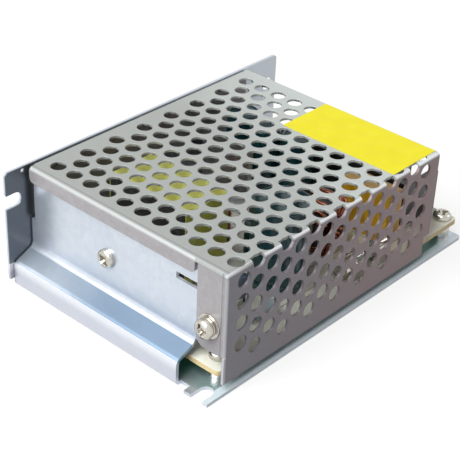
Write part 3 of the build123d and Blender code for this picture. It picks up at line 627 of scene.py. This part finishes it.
def printedOutline(finish, node):
    low, middle, high = span(node)
    half = (high - low) / 2
    across = finish.along("X").distance(middle.x) - half.x
    reach = across.most(finish.along("Y").distance(middle.y) - half.y)
    away = reach.distance(outlineValues["reach"])
    line = outlineValues["line"]
    return finish.between(away, line / 2, line, 1.0, 0.0) * outlineValues["share"]


boardLaminate = Finish("board laminate")
low, middle, high = span("circuit_board")
level = boardLaminate.along("Z")
upper = level > high.z - boardValues["skin"]
lower = level < low.z + boardValues["skin"]
weave = boardLaminate.noise(0.4, 2.0, 0.6, (1, 0.25, 1))
stain = boardLaminate.noise(9.0, 4.0)
tracks = boardLaminate.between(boardLaminate.noise(3.2, 0.0, 0.5, (1, 0.35, 1)), 0.49, 0.52)
faceColour = boardLaminate.blend(stain, boardValues["faceDark"], boardValues["faceLight"])
for part in outlinedParts:
    outline = printedOutline(boardLaminate, part)
    faceColour = boardLaminate.blend(outline, faceColour, outlineValues["ink"])
edgeColour = boardLaminate.blend(weave, boardValues["edgeDark"], boardValues["edgeLight"])
underColour = boardLaminate.blend(tracks, boardValues["gap"], boardValues["track"])
boardColour = boardLaminate.blend(upper, edgeColour, faceColour)
boardLaminate.feed(Base_Color=boardLaminate.blend(lower, boardColour, underColour))
boardRough = boardValues["rough"] - lower * boardValues["lacquerGloss"] + (weave - 0.5) * 0.15
boardLaminate.feed(Roughness=boardRough)
boardLaminate.feed(Normal=boardLaminate.dents(weave * 0.4 + tracks * lower, 0.04, 0.4))

fuseGlass = Finish("fuse glass", Transmission_Weight=0.92, IOR=1.48)
smear = fuseGlass.noise(2.0)
fuseGlass.feed(Base_Color=fuseGlass.blend(smear, tone(232, 240, 238), tone(250, 252, 251)))
fuseGlass.feed(Roughness=0.04 + smear * 0.06)

lampGreen = Finish("lamp green", Transmission_Weight=0.45, IOR=1.5)
cloudy = lampGreen.noise(1.0)
lampGreen.feed(Base_Color=lampGreen.blend(cloudy, tone(60, 190, 84), tone(96, 216, 116)))
lampGreen.feed(Roughness=0.18 + cloudy * 0.12)
print("materials made:", len(bpy.data.materials))

# cover: the folded sheet, with its punched holes cut round and eased
coverHoles = {
    "radius": 2.27, "sides": 24, "ease": 0.13, "columns": 15, "topRows": 11, "sideRows": 4,
    "firstColumn": 6.25, "columnPitch": 5.43, "rowPitch": 6.5, "lastTopRow": 2.9,
    "firstSideRow": 3.9, "punchDepth": 1.4, "bendDepth": 1.7, "above": 0.6,
}
coverLow, middle, coverHigh = span("cover")


def holePlaces():
    # where the holes stand on the top and the side, and along the bend in every other column
    top, side, bend = [], [], []
    pitch = coverHoles["rowPitch"]
    farRow = coverLow.y + coverHoles["lastTopRow"] + (coverHoles["topRows"] - 1) * pitch
    for column in range(coverHoles["columns"]):
        x = coverLow.x + coverHoles["firstColumn"] + column * coverHoles["columnPitch"]
        odd = column % 2
        for row in range(coverHoles["topRows"] - odd):
            top.append((x, farRow - (row + 0.5 * odd) * pitch))
        for row in range(coverHoles["sideRows"]):
            z = coverHigh.z - coverHoles["firstSideRow"] - (row + 0.5 * odd) * pitch
            side.append((x, z))
        if odd:
            bend.append(x)
    return top, side, bend


def punchTool(name, depth, flare):
    # a round punch that stands at the origin with the sheet's face at zero
    radius, above = coverHoles["radius"], coverHoles["above"]
    profile = [
        (0, -depth), (radius, -depth), (radius, -flare), (radius + flare, 0.02),
        (radius + flare, above), (0, above),
    ]
    return turned(name, profile, coverHoles["sides"])


topPlaces, sidePlaces, bendPlaces = holePlaces()
easedPunch = punchTool("eased punch", coverHoles["punchDepth"], coverHoles["ease"])
plainPunch = punchTool("plain punch", coverHoles["bendDepth"], 0)
bendY = coverLow.y + coverHoles["lastTopRow"] - coverHoles["rowPitch"] / 2
bendZ = coverHigh.z - coverHoles["firstSideRow"] + coverHoles["rowPitch"] / 2
topPunches = [twin(easedPunch, "punch", (x, y, coverHigh.z)) for x, y in topPlaces]
topPunches += [twin(plainPunch, "punch", (x, bendY, coverHigh.z)) for x in bendPlaces]
sidePunches = [twin(easedPunch, "punch", (x, coverLow.y, z), 90, "X") for x, z in sidePlaces]
sidePunches += [twin(plainPunch, "punch", (x, coverLow.y, bendZ), 90, "X") for x in bendPlaces]
bpy.data.objects.remove(easedPunch)
bpy.data.objects.remove(plainPunch)
coverShell = castOff("cover", "coverShell", flatten=False)
carve(coverShell, gather("top punches", topPunches))
carve(coverShell, gather("side punches", sidePunches))
dress(smooth(coverShell, 32), "supply", "cover_steel", coverSteel, "cover")
print("cover cut:", len(coverShell.data.polygons), "faces")

# chassis and other pieces whose CAD shape is right but for its edges: name, ease, slot, finish
easedPieces = {
    "chassis": ("chassisShell", 0.14, "folded_steel", chassisSteel),
    "terminal_block": ("terminalBody", 0.28, "block_black", blockPlastic),
    "terminal_contacts": ("terminalPlates", 0.12, "tinned", tinned),
    "transformer_core": ("transformerCore", 0.35, "ferrite", ferrite),
    "transformer_bobbin": ("transformerBobbin", 0.15, "bobbin_black", bobbinPlastic),
    "transformer_tape": ("transformerTape", 0.12, "tape_yellow", tapeYellow),
    "transformer_winding": ("transformerWinding", 0.4, "tape_yellow", tapeYellow),
    "filter_capacitor": ("filterCapacitor", 0.6, "film_orange", filmOrange),
    "snubber_capacitor": ("snubberCapacitor", 0.9, "film_orange", filmRed),
    "output_heatsink": ("outputHeatsink", 0.25, "sink_aluminium", aluminium),
    "wall_nut": ("wallNut", 0.2, "nickel", nickel),
    "insulating_pad": ("insulatingPad", 0.06, "pad_film", padFilm),
    "trimmer_body": ("trimmerBody", 0.25, "trimmer_blue", trimmerBlue),
    "circuit_board": ("circuitBoard", 0.06, "board_laminate", boardLaminate),
}
for node, (name, width, slot, finish) in easedPieces.items():
    dress(castOff(node, name, width), "supply", slot, finish, node)
print("eased pieces made:", len(easedPieces))

# black packages: bright metal is below the case, on a tab above it, or past its sides
tabbed = {"ease": 0.15, "legsBelow": 15.2, "tabAbove": 6.15, "tabThick": 1.42}
leadedPieces = {
    "power_transistor": {"name": "powerTransistor", **tabbed},
    "output_rectifier": {"name": "outputRectifier", **tabbed},
    "bridge_rectifier": {"name": "bridgeRectifier", "ease": 0.3, "legsUpTo": 1.35},
    "control_chip": {"name": "controlChip", "ease": 0.12, "halfCase": 3.21},
    "feedback_coupler": {"name": "feedbackCoupler", "ease": 0.12, "halfCase": 3.21},
}


def isLead(node, values):
    low, middle, high = span(node)
    if "tabThick" in values:
        legsTop, tabBottom = high.z - values["legsBelow"], high.z - values["tabAbove"]
        tabFront = low.x + values["tabThick"]
        return lambda x, y, z: z < legsTop or (z > tabBottom and x < tabFront)
    if "legsUpTo" in values:
        return lambda x, y, z: z < low.z + values["legsUpTo"]
    return lambda x, y, z: abs(x - middle.x) > values["halfCase"]


for node, values in leadedPieces.items():
    piece = castOff(node, values["name"], values["ease"])
    pick(piece, 1, isLead(node, values))
    dress(piece, "supply", "package_black", [blackPlastic, tinned], node)
print("packages made:", len(leadedPieces))

# screws with a pan head and a cross recess; seat is how far the seat is from the outer end
screwValues = {
    "board": {"head": 2.85, "rise": 2.1, "shank": 1.45, "length": 5.0, "turn": 25},
    "cover": {
        "head": 2.85, "rise": 2.1, "shank": 1.45, "length": 6.0, "turn": 20, "seat": 2.1,
        "facing": -90,
    },
    "wall": {
        "head": 2.85, "rise": 1.5, "shank": 1.45, "length": 6.3, "turn": 50, "seat": 2.1,
        "facing": -90,
    },
    "rectifier": {
        "head": 2.85, "rise": 2.1, "shank": 1.45, "length": 3.0, "turn": 10, "seat": 2.1,
        "facing": 90,
    },
    "terminal": {
        "head": 2.9, "rise": 2.0, "shank": 1.65, "length": 4.6, "turn": 37, "seat": 2.0,
    },
}
recessValues = {
    "width": 1.05, "reach": 0.8, "depth": 1.2, "footLong": 0.45, "footWide": 0.6,
    "pitReach": 0.42, "pitWidth": 0.3, "pitDepth": 0.9, "above": 0.4,
}
threadValues = {"pitch": 0.5, "depth": 0.22, "first": 0.4, "last": 0.7}


def panScrew(name, values):
    # seat at zero, head above it, threaded shank below it
    head, rise, shank, length = [values[key] for key in ("head", "rise", "shank", "length")]
    profile = [(0, -length), (shank - 0.35, -length), (shank - 0.2, -length + 0.15)]
    height = -length + threadValues["first"]
    while height < -threadValues["last"]:
        root = shank - threadValues["depth"]
        profile += [(shank, height), (root, height + threadValues["pitch"] / 2)]
        height += threadValues["pitch"]
    profile += [
        (shank, -0.4), (shank, 0), (head - 0.2, 0), (head - 0.04, 0.06), (head, 0.22),
        (head - 0.03, rise * 0.4), (head * 0.95, rise * 0.66), (head * 0.84, rise * 0.85),
        (head * 0.66, rise * 0.96), (head * 0.35, rise), (0, rise),
    ]
    screw = turned(name, profile, 28)
    top = rise + recessValues["above"]
    for turn in (0, 90):
        # one slot of the cross, narrower at its foot, and a shallow pit between the slots
        long, wide = head * recessValues["reach"], recessValues["width"] / 2
        bottom = rise - recessValues["depth"]
        slot = block("recess", (-long, -wide, bottom), (long, wide, top))
        for vertex in slot.data.vertices:
            if vertex.co.z < (bottom + 0.2) * mm:
                vertex.co.x *= recessValues["footLong"]
                vertex.co.y *= recessValues["footWide"]
        carve(screw, put(slot, (0, 0, 0), turn))
        long = head * recessValues["pitReach"]
        wide = recessValues["width"] * recessValues["pitWidth"]
        bottom = rise - recessValues["pitDepth"]
        pit = block("recess", (-long, -wide, bottom), (long, wide, top))
        carve(screw, put(pit, (0, 0, 0), turn + 45))
    return smooth(screw, 40)


boardPlaces = [(-44.35, -31.2), (53.05, -32.4), (-44.75, 30.8), (39.15, 31.8)]
boardTop = span("circuit_board")[2].z
model = panScrew("board screw", screwValues["board"])
turn = screwValues["board"]["turn"]
for screw in copies(model, [
    (f"boardScrew_{n}", (x, y, boardTop), turn * n) for n, (x, y) in enumerate(boardPlaces, 1)
]):
    dress(screw, "supply", "nickel", nickel, "board_screws")

for name in ("cover", "wall", "rectifier"):
    values = screwValues[name]
    low, middle, high = span(f"{name}_screw")
    seat = low.x + values["seat"] if values["facing"] < 0 else high.x - values["seat"]
    screw = put(panScrew(f"{name}Screw", values), (0, 0, 0), values["turn"])
    put(screw, (seat, middle.y, middle.z), values["facing"], "Y")
    dress(screw, "supply", "nickel", nickel, f"{name}_screw")

ways = range(1, 6)
model = panScrew("terminal screw", screwValues["terminal"])
places = []
for way in ways:
    low, middle, high = span(f"terminal_screw_{way}")
    spot = (middle.x, middle.y, high.z - screwValues["terminal"]["seat"])
    places.append((f"terminalScrew_{way}", spot, screwValues["terminal"]["turn"] * way))
for way, screw in zip(ways, copies(model, places)):
    dress(screw, f"clamp_{way}", "nickel", nickel, f"terminal_screw_{way}")
print("screws made")

# washers and standoffs
flatValues = {"outer": 3.5, "inner": 1.7, "thick": 0.5, "ease": 0.08}
outer, inner, thick, soft = [flatValues[key] for key in ("outer", "inner", "thick", "ease")]
washer = turned("coverFlatWasher", [
    (inner, soft), (inner + soft, 0), (outer - soft, 0), (outer, soft), (outer, thick - soft),
    (outer - soft, thick), (inner + soft, thick), (inner, thick - soft), (inner, soft),
], 40)
low, middle, high = span("cover_flat_washer")
put(smooth(washer, 50), (high.x, middle.y, middle.z), -90, "Y")
dress(washer, "supply", "nickel", nickel, "cover_flat_washer")

springValues = {
    "outer": 2.7, "inner": 1.55, "thick": 0.54, "gap": 8.0, "rise": 0.14, "turn": 40,
}
outer, inner, thick = [springValues[key] for key in ("outer", "inner", "thick")]
section = [(inner, 0, 0), (outer, 0, 0), (outer, 0, thick), (inner, 0, thick)]
spring = chain("coverSpringWasher", section)
bpy.ops.mesh.select_all(action="SELECT")
bpy.ops.mesh.edge_face_add()
openAngle = math.radians(360 - springValues["gap"])
bpy.ops.mesh.spin(steps=44, angle=openAngle, center=(0, 0, 0), axis=(0, 0, 1))
bpy.ops.mesh.select_all(action="SELECT")
bpy.ops.mesh.normals_make_consistent(inside=False)
bpy.ops.object.mode_set(mode="OBJECT")
for vertex in spring.data.vertices:  # the ring climbs a little from one end to the other
    turn = math.atan2(vertex.co.y, vertex.co.x) % math.tau
    vertex.co.z += springValues["rise"] * mm * turn / math.tau
ease(spring, 0.06, 50)
put(smooth(spring, 50), (0, 0, 0), springValues["turn"])
low, middle, high = span("cover_spring_washer")
put(spring, (high.x, middle.y, middle.z), -90, "Y")
dress(spring, "supply", "nickel", nickel, "cover_spring_washer")

# captive square washers of the terminals, with rounded corners
squareValues = {"half": 3.2, "thick": 0.8, "corner": 0.9, "hole": 1.72, "ease": 0.1}
half, thick, hole = [squareValues[key] for key in ("half", "thick", "hole")]
model = block("terminal washer", (-half, -half, 0), (half, half, thick))
editAll(model)
bpy.ops.mesh.select_all(action="DESELECT")
bpy.ops.object.mode_set(mode="OBJECT")
for edge in model.data.edges:
    first, second = [model.data.vertices[index].co for index in edge.vertices]
    edge.select = abs(first.z - second.z) > thick / 2 * mm
bpy.ops.object.mode_set(mode="EDIT")
bpy.ops.mesh.bevel(offset=squareValues["corner"] * mm, segments=4, affect="EDGES")
bpy.ops.object.mode_set(mode="OBJECT")
carve(model, turned("washer hole", [(0, -1), (hole, -1), (hole, 2), (0, 2)], 28))
smooth(ease(model, squareValues["ease"], 50), 40)
places = []
for way in ways:
    low, middle, high = span(f"terminal_washer_{way}")
    places.append((f"terminalWasher_{way}", (middle.x, middle.y, low.z)))
for way, washer in zip(ways, copies(model, places)):
    dress(washer, f"clamp_{way}", "nickel", nickel, f"terminal_washer_{way}")

standoffValues = {"bore": 1.52, "outer": 2.75, "height": 4.0, "floorTop": 1.0}
bore, outer, height = [standoffValues[key] for key in ("bore", "outer", "height")]
model = smooth(turned("board standoff", [
    (bore, 0), (outer - 0.15, 0), (outer, 0.15), (outer, height - 0.4),
    (outer - 0.15, height - 0.15), (outer - 0.45, height), (bore, height), (bore, 0),
], 28), 40)
floorTop = standoffValues["floorTop"]
for standoff in copies(model, [
    (f"boardStandoff_{n}", (x, y, floorTop)) for n, (x, y) in enumerate(boardPlaces, 1)
]):
    dress(standoff, "supply", "nickel", nickel, "board_standoffs")
print("washers and standoffs made")

# electrolytic capacitors: a sleeved can with a rolled rim and a scored top
outputCan = {"radius": 5.0, "height": 22.4, "groove": 0.3}
canValues = {
    "bulk": {"spot": (-7.85, -19.4), "radius": 8.5, "height": 25.8, "groove": 0.5, "stripe": 200},
    "output_1": {"spot": (28.35, 27.2), "stripe": 80, **outputCan},
    "output_2": {"spot": (26.05, 16.4), "stripe": 110, **outputCan},
    "output_3": {"spot": (28.55, 5.6), "stripe": 60, **outputCan},
    "auxiliary": {
        "spot": (-2.85, -6.2), "radius": 3.2, "height": 11.0, "groove": 0.2, "stripe": 150,
    },
}
canNodes = {"bulk": "bulk_capacitor", "auxiliary": "auxiliary_capacitor"}
scoreValues = {"reach": 0.72, "half": 0.11, "depth": 0.5, "crossOver": 6}


def can(name, values):
    radius, height, groove = values["radius"], values["height"], values["groove"]
    lip = 0.09 * radius + 0.15
    profile = [
        (0, 0.3), (radius * 0.82, 0.3), (radius * 0.86, 0.05), (radius - 0.25, 0), (radius, 0.3),
        (radius, 2.1), (radius - groove * 0.6, 2.5), (radius - groove, 3.0),
        (radius - groove * 0.6, 3.5), (radius, 3.9), (radius, height - 0.65),
        (radius - 0.1, height - 0.25), (radius - 0.35, height - 0.03), (radius - lip, height),
        (radius - lip - 0.12, height - 0.1), (radius - lip - 0.2, height - 0.32),
        (radius - lip - 0.5, height - 0.36), (0, height - 0.36),
    ]
    body = turned(name, profile, 48)
    # a large can is scored with three lines, a small one with two
    reach, half = (radius - lip) * scoreValues["reach"], scoreValues["half"]
    bottom = height - scoreValues["depth"]
    for turn in (0, 60, 120) if radius > scoreValues["crossOver"] else (0, 90):
        score = block("score", (-reach, -half, bottom), (reach, half, height))
        carve(body, put(score, (0, 0, 0), turn))
    rim = radius - lip - 0.15
    stripe = math.radians(values["stripe"])

    def inStripe(x, y, z):
        turn = abs((math.atan2(y, x) - stripe + math.pi) % math.tau - math.pi)
        return turn < 0.36 and 0.3 < z < height - 0.5 and math.hypot(x, y) > radius * 0.8

    pick(body, 1, inStripe)
    pick(body, 2, lambda x, y, z: z > height - 0.6 and math.hypot(x, y) < rim)
    pick(body, 3, lambda x, y, z: z < 0.31 and math.hypot(x, y) < radius * 0.84)
    return put(smooth(body, 40), (*values["spot"], boardTop))


for name, values in canValues.items():
    node = canNodes.get(name, "output_capacitors")
    finishes = [sleeveTeal, stripeGrey, canTop, rubber]
    dress(can(f"can_{name}", values), "supply", "can_sleeve", finishes, node)
print("capacitors made:", len(canValues))

# chokes: a smooth ring core with turns of enamelled wire
chokeValues = {
    "line": {
        "outer": 8.0, "inner": 4.4, "width": 7.0, "wire": 1.15, "gaps": 2, "turns": 7,
        "finish": ferrite, "lean": -90,
    },
    "output": {
        "outer": 7.2, "inner": 4.2, "width": 6.0, "wire": 1.2, "gaps": 1, "turns": 15,
        "finish": discGreen, "lean": 0,
    },
}
windingValues = {"gap": 50, "margin": 5, "clear": 0.12, "bend": 1.0, "sway": 1.4, "step": 2.3}
coreEase = 0.5


def ringCore(name, values):
    outer, inner, half = values["outer"], values["inner"], values["width"] / 2
    profile = []
    for x, z in ((outer, -half), (outer, half), (inner, half), (inner, -half)):
        inward = coreEase if x == inner else -coreEase
        upward = -coreEase if z > 0 else coreEase
        corner = [(x + inward, z), (x + inward * 0.3, z + upward * 0.3), (x, z + upward)]
        profile += corner if (x == outer) == (z < 0) else corner[::-1]
    return smooth(turned(name, profile + profile[:1], 48), 40)


def windings(name, values):
    # turns spread evenly between the gaps, each leaning a little differently
    gaps, gap, margin = values["gaps"], windingValues["gap"], windingValues["margin"]
    reach = values["wire"] / 2 + windingValues["clear"]
    inner, outer = values["inner"] - reach, values["outer"] + reach
    half = values["width"] / 2 + reach
    loop = [(inner, 0, -half), (outer, 0, -half), (outer, 0, half), (inner, 0, half)]
    model = wire("turn", loop + loop[:1], values["wire"], windingValues["bend"], closed=True)
    places = []
    for part in range(gaps):
        start = 360 / gaps * part + gap / 2 + margin
        run = 360 / gaps - gap - 2 * margin
        for step in range(values["turns"]):
            angle = start + run * step / (values["turns"] - 1)
            sway = windingValues["sway"] * math.sin(step * windingValues["step"] + part)
            places.append(("turn", (0, 0, 0), angle + sway))
    return smooth(gather(name, copies(model, places)), 60, weighted=False)


for name, values in chokeValues.items():
    middle = span(f"{name}_choke_core")[1]
    core = put(ringCore(f"{name}ChokeCore", values), middle, values["lean"], "X")
    dress(core, "supply", "ferrite", values["finish"], f"{name}_choke_core")
    turns = put(windings(f"{name}ChokeWinding", values), middle, values["lean"], "X")
    dress(turns, "supply", "copper_wire", copperWire, f"{name}_choke_winding")
print("chokes wound")

# coated discs on two legs
discValues = {
    "thermistor": {
        "spot": (20.95, -9.2), "radius": 4.5, "thick": 3.6, "finish": discGreen,
        "slot": "disc_green", "node": "thermistor",
    },
    "safety_1": {
        "spot": (-24.35, -19.7), "radius": 3.9, "thick": 3.0, "finish": discBlue,
        "slot": "disc_blue", "node": "safety_capacitors",
    },
    "safety_2": {
        "spot": (35.85, -8.0), "radius": 3.9, "thick": 3.0, "finish": discBlue,
        "slot": "disc_blue", "node": "safety_capacitors",
    },
}
legValues = {"height": 2.2, "radius": 0.32, "spread": 0.55, "coated": 0.2}


def coatedDisc(name, values):
    radius, half, legHeight = values["radius"], values["thick"] / 2, legValues["height"]
    edge = half * 0.7
    rim = [math.pi * (step / 8 - 0.5) for step in range(9)]
    profile = [(radius - edge + edge * math.cos(turn), half * math.sin(turn)) for turn in rim]
    disc = smooth(turned(name, [(0, -half)] + profile + [(0, half)], 40), 60)
    parts = [put(disc, (0, 0, legHeight + radius), 90, "X")]
    legRadius = legValues["radius"]
    for side in (-1, 1):
        # the coating runs down each leg as a drip
        drip = [
            (0, 0), (legRadius, 0), (legRadius, legHeight), (0.7, legHeight + 0.9),
            (0.8, legHeight + 2.4), (0, legHeight + 2.4),
        ]
        leg = put(turned("leg", drip, 12), (side * radius * legValues["spread"], 0, 0))
        pick(leg, 1, lambda x, y, z: z < legHeight + legValues["coated"])
        parts.append(smooth(leg, 50))
    for part in parts:
        paint(part, [values["finish"], tinned])
    return put(gather(name, parts), (*values["spot"], boardTop))


for name, values in discValues.items():
    piece = coatedDisc(f"disc_{name}", values)
    dress(piece, "supply", values["slot"], [values["finish"], tinned], values["node"])

# resistors: a waisted body with colour bands, on a bent wire
resistorValues = {
    "end": 1.8, "waist": 1.5, "half": 4.0, "lead": 0.65, "height": 2.15, "reach": 0.7,
    "drop": 2.15, "brown": [(-1.3, -0.8), (-0.4, 0.1)], "gold": (0.7, 1.3),
}
resistorPlaces = [(-35.35, -19.2), (-35.35, -13.2), (-23.35, -28.2)]
resistorFinishes = [resistorBlue, bandBrown, bandGold, tinned]


def resistor(name):
    end, waist, half = [resistorValues[key] for key in ("end", "waist", "half")]
    rings = [
        (0, -half), (end * 0.6, -half + 0.02), (end - 0.1, -half + 0.35), (end, -half + 0.9),
        (end - 0.1, -half + 1.6),
    ]
    bands = [(waist, edge) for edge in (-1.9, -1.3, -0.8, -0.4, 0.1, 0.7, 1.3)]
    body = turned(name, rings + bands + [(radius, -z) for radius, z in rings[::-1]], 28)
    put(body, (0, 0, 0), 90, "Y")
    for low, high in resistorValues["brown"]:
        pick(body, 1, lambda x, y, z: low < x < high)
    low, high = resistorValues["gold"]
    pick(body, 2, lambda x, y, z: low < x < high)
    smooth(body, 40)
    foot, drop = half + resistorValues["reach"], resistorValues["drop"]
    path = [(-foot, 0, -drop), (-foot, 0, 0), (foot, 0, 0), (foot, 0, -drop)]
    leads = smooth(wire("lead", path, resistorValues["lead"], 0.5), 60, weighted=False)
    for part in (body, leads):
        paint(part, resistorFinishes)
    pick(leads, 3, lambda x, y, z: True)
    return gather(name, [body, leads])


height = boardTop + resistorValues["height"]
for piece in copies(resistor("resistor"), [
    (f"resistor_{n}", (x, y, height)) for n, (x, y) in enumerate(resistorPlaces, 1)
]):
    dress(piece, "supply", "resistor_blue", resistorFinishes, "resistors")

# fuse: a glass tube with two caps and a strand
fuseValues = {
    "outer": 2.3, "inner": 1.9, "half": 9.4, "cap": 2.6, "capLength": 5.0, "capAt": 10,
    "strand": 0.3, "clipEase": 0.1,
}
outer, inner, half = [fuseValues[key] for key in ("outer", "inner", "half")]
middle = span("fuse")[1]
tubeProfile = [(inner, -half), (outer, -half), (outer, half), (inner, half), (inner, -half)]
tube = smooth(turned("fuseTube", tubeProfile, 32), 40)
dress(put(tube, middle, 90, "Y"), "supply", "fuse_glass", fuseGlass, "fuse")
cap, length = fuseValues["cap"], fuseValues["capLength"]
capProfile = [
    (0, 0), (cap - 0.25, 0), (cap - 0.05, 0.12), (cap, 0.4), (cap, length - 0.3),
    (cap - 0.1, length), (cap - 0.28, length), (cap - 0.28, 0.5), (0, 0.5),
]
away = fuseValues["capAt"]
caps = copies(smooth(turned("cap", capProfile, 32), 40), [
    ("cap", (-away, 0, 0), 90, "Y"), ("cap", (away, 0, 0), -90, "Y"),
])
dress(put(gather("fuseCaps", caps), middle), "supply", "nickel", nickel, "fuse")
path = [(-half, 0, -0.8), (-3, 0, 0.1), (3, 0, -0.1), (half, 0, 0.8)]
strand = put(wire("fuseWire", path, fuseValues["strand"], 1.0), middle)
dress(strand, "supply", "copper_wire", tinned, "fuse")
clips = castOff("fuse_clips", "fuseClips", fuseValues["clipEase"])
dress(clips, "supply", "nickel", nickel, "fuse_clips")

# indicator lamp: a flanged cylinder with a domed end
lampShape = {"radius": 1.5, "flange": 1.75, "flangeTop": 0.9, "domeAt": 3.1}
radius, flange, domeAt = [lampShape[key] for key in ("radius", "flange", "domeAt")]
flangeTop = lampShape["flangeTop"]
dome = [
    (0, 0), (flange, 0), (flange, flangeTop), (flange - 0.1, flangeTop + 0.1),
    (radius, flangeTop + 0.1), (radius, domeAt),
]
for turn in (0.3, 0.6, 0.9, 1.2, 1.45):
    dome.append((radius * math.cos(turn), domeAt + radius * math.sin(turn)))
lamp = smooth(turned("indicatorLamp", dome + [(0, domeAt + radius)], 32), 50)
low, middle, high = span("indicator_lamp")
put(lamp, (middle.x, middle.y, low.z))
dress(lamp, "supply", "lamp_green", lampGreen, "indicator_lamp")

# trimmer rotor: a white dial with a raised edge and a slot for a screwdriver
rotorValues = {"radius": 2.28, "height": 1.4, "slotHalf": 0.35, "slotFrom": 0.8}
radius, height, half = [rotorValues[key] for key in ("radius", "height", "slotHalf")]
rotor = turned("trimmerRotor", [
    (0, 0), (radius - 0.13, 0), (radius, 0.12), (radius, height - 0.3), (radius - 0.18, height),
    (1.5, height), (1.45, height - 0.1), (0, height - 0.1),
], 36)
carve(rotor, block("slot", (-3, -half, rotorValues["slotFrom"]), (3, half, 2)))
put(smooth(rotor, 40), (0, 0, 0), 90, "Y")
low, middle, high = span("trimmer_rotor")
put(rotor, (low.x, middle.y, middle.z))
dress(rotor, "trimmer_dial", "rotor_white", rotorWhite, "trimmer_rotor")
print("small parts made")

# plain label: a thin film that sags a little over the holes under it
labelValues = {
    "sag": 0.07, "thickness": 0.1, "across": 56, "deep": 112, "fullness": 0.7, "hole": 2.25,
}
low, middle, high = span("top_label")
clearSelection()
bpy.ops.mesh.primitive_grid_add(
    x_subdivisions=labelValues["across"], y_subdivisions=labelValues["deep"], size=mm,
    location=Vector((middle.x, middle.y, 0)) * mm,
)
film = named(bpy.context.object, "topLabel")
film.scale = (high.x - low.x, high.y - low.y, 1)
bpy.ops.object.transform_apply(location=True, rotation=True, scale=True)
for vertex in film.data.vertices:
    x, y = vertex.co.x / mm, vertex.co.y / mm
    depth = 0
    for holeX, holeY in topPlaces:
        part = math.hypot(x - holeX, y - holeY) / labelValues["hole"]
        if part < 1:
            depth = labelValues["sag"] * (1 - part ** 2) ** labelValues["fullness"]
    vertex.co.z = (high.z - depth) * mm
modify(film, "SOLIDIFY", thickness=labelValues["thickness"] * mm, offset=-1)
dress(smooth(film, 40, weighted=False), "supply", "label_film", labelFilm, "top_label")
print("label laid")

# floor and world: white to the eye, to reflections and through glass
stageValues = {
    "floorSize": 3.0, "floorLevel": -0.0001, "floorGlow": 0.72, "ambient": 0.17, "backdrop": 0.83,
    "paperDark": tone(136, 136, 136), "paperLight": tone(142, 142, 142), "white": (1, 1, 1, 1),
}


def seenDirectly(nodes):
    # 1 where the eye, a reflection or a view through glass meets the surface
    seen = nodes.node("ShaderNodeLightPath", out="Is Camera Ray")
    for ray in ("Is Glossy Ray", "Is Transmission Ray"):
        seen = seen.most(nodes.node("ShaderNodeLightPath", out=ray))
    return seen


clearSelection()
place = (0, 0, stageValues["floorLevel"])
bpy.ops.mesh.primitive_plane_add(size=stageValues["floorSize"], location=place)
floor = named(bpy.context.object, "studioFloor")
bpy.ops.object.transform_apply(location=True, rotation=True, scale=True)
paper = Finish("white paper", Roughness=0.9, Specular_IOR_Level=0.1)
clouds = paper.noise(60.0)
paper.feed(Base_Color=paper.blend(clouds, stageValues["paperDark"], stageValues["paperLight"]))
strength = seenDirectly(paper) * stageValues["floorGlow"]
values = {"Color": stageValues["white"], "Strength": strength}
glow = paper.node("ShaderNodeEmission", {}, values)
plain = Link(paper, paper.shader.outputs[0])
both = paper.node("ShaderNodeAddShader", {}, {0: plain, 1: glow})
paper.join(both, paper.tree.nodes["Material Output"].inputs[0])
paint(floor, [paper])

world = bpy.data.worlds.new("studio")
bpy.context.scene.world = world
world.use_nodes = True
sky = Nodes(world.node_tree)
skyLight = sky.tree.nodes["Background"].inputs
sky.join(stageValues["white"], skyLight["Color"])
strength = seenDirectly(sky) * stageValues["backdrop"] + stageValues["ambient"]
sky.join(strength, skyLight["Strength"])

# soft lamps, in metres and watts, all aimed at the middle of the supply
lampValues = {
    "key": {"spot": (-0.92, 0.1, 1.2), "size": 1.3, "power": 39.0, "colour": (0.95, 1.0, 0.96)},
    "left": {"spot": (-1.25, 0.15, 0.3), "size": 0.8, "power": 1.5, "colour": (1.0, 0.9, 1.0)},
    "right": {"spot": (0.95, -0.8, 0.83), "size": 0.35, "power": 2.2, "colour": (1.0, 0.88, 0.9)},
}
lampTarget = Vector((0, 0, 0.02))
for name, values in lampValues.items():
    clearSelection()
    bpy.ops.object.light_add(type="AREA", location=values["spot"])
    light = bpy.context.object
    light.name = name
    light.data.size = values["size"]
    light.data.energy = values["power"]
    light.data.color = values["colour"]
    aim = lampTarget - Vector(values["spot"])
    light.rotation_euler = aim.to_track_quat("-Z", "Y").to_euler()

cameraValues = {
    "lens": 103.76, "sensor": 36, "nearest": 0.01,
    "place": (-246.576, -209.104, 215.057),
    "right": (0.67486135, -0.73691907, 0.03889026),
    "down": (-0.37242641, -0.38561313, -0.84415703),
    "ahead": (0.637072, 0.55520519, -0.53468352),
}
clearSelection()
bpy.ops.object.camera_add()
camera = bpy.context.object
camera.name = "photoCamera"
camera.data.lens = cameraValues["lens"]
camera.data.sensor_width = cameraValues["sensor"]
camera.data.clip_start = cameraValues["nearest"]
right, down, ahead = [Vector(cameraValues[key]) for key in ("right", "down", "ahead")]
place = Matrix.Translation(Vector(cameraValues["place"]) * mm)
camera.matrix_world = place @ Matrix([right, -down, -ahead]).transposed().to_4x4()
bpy.context.scene.camera = camera
bpy.context.scene.view_settings.view_transform = "Standard"
print("stage, light and camera set")

clearSelection()
bpy.context.view_layer.update()
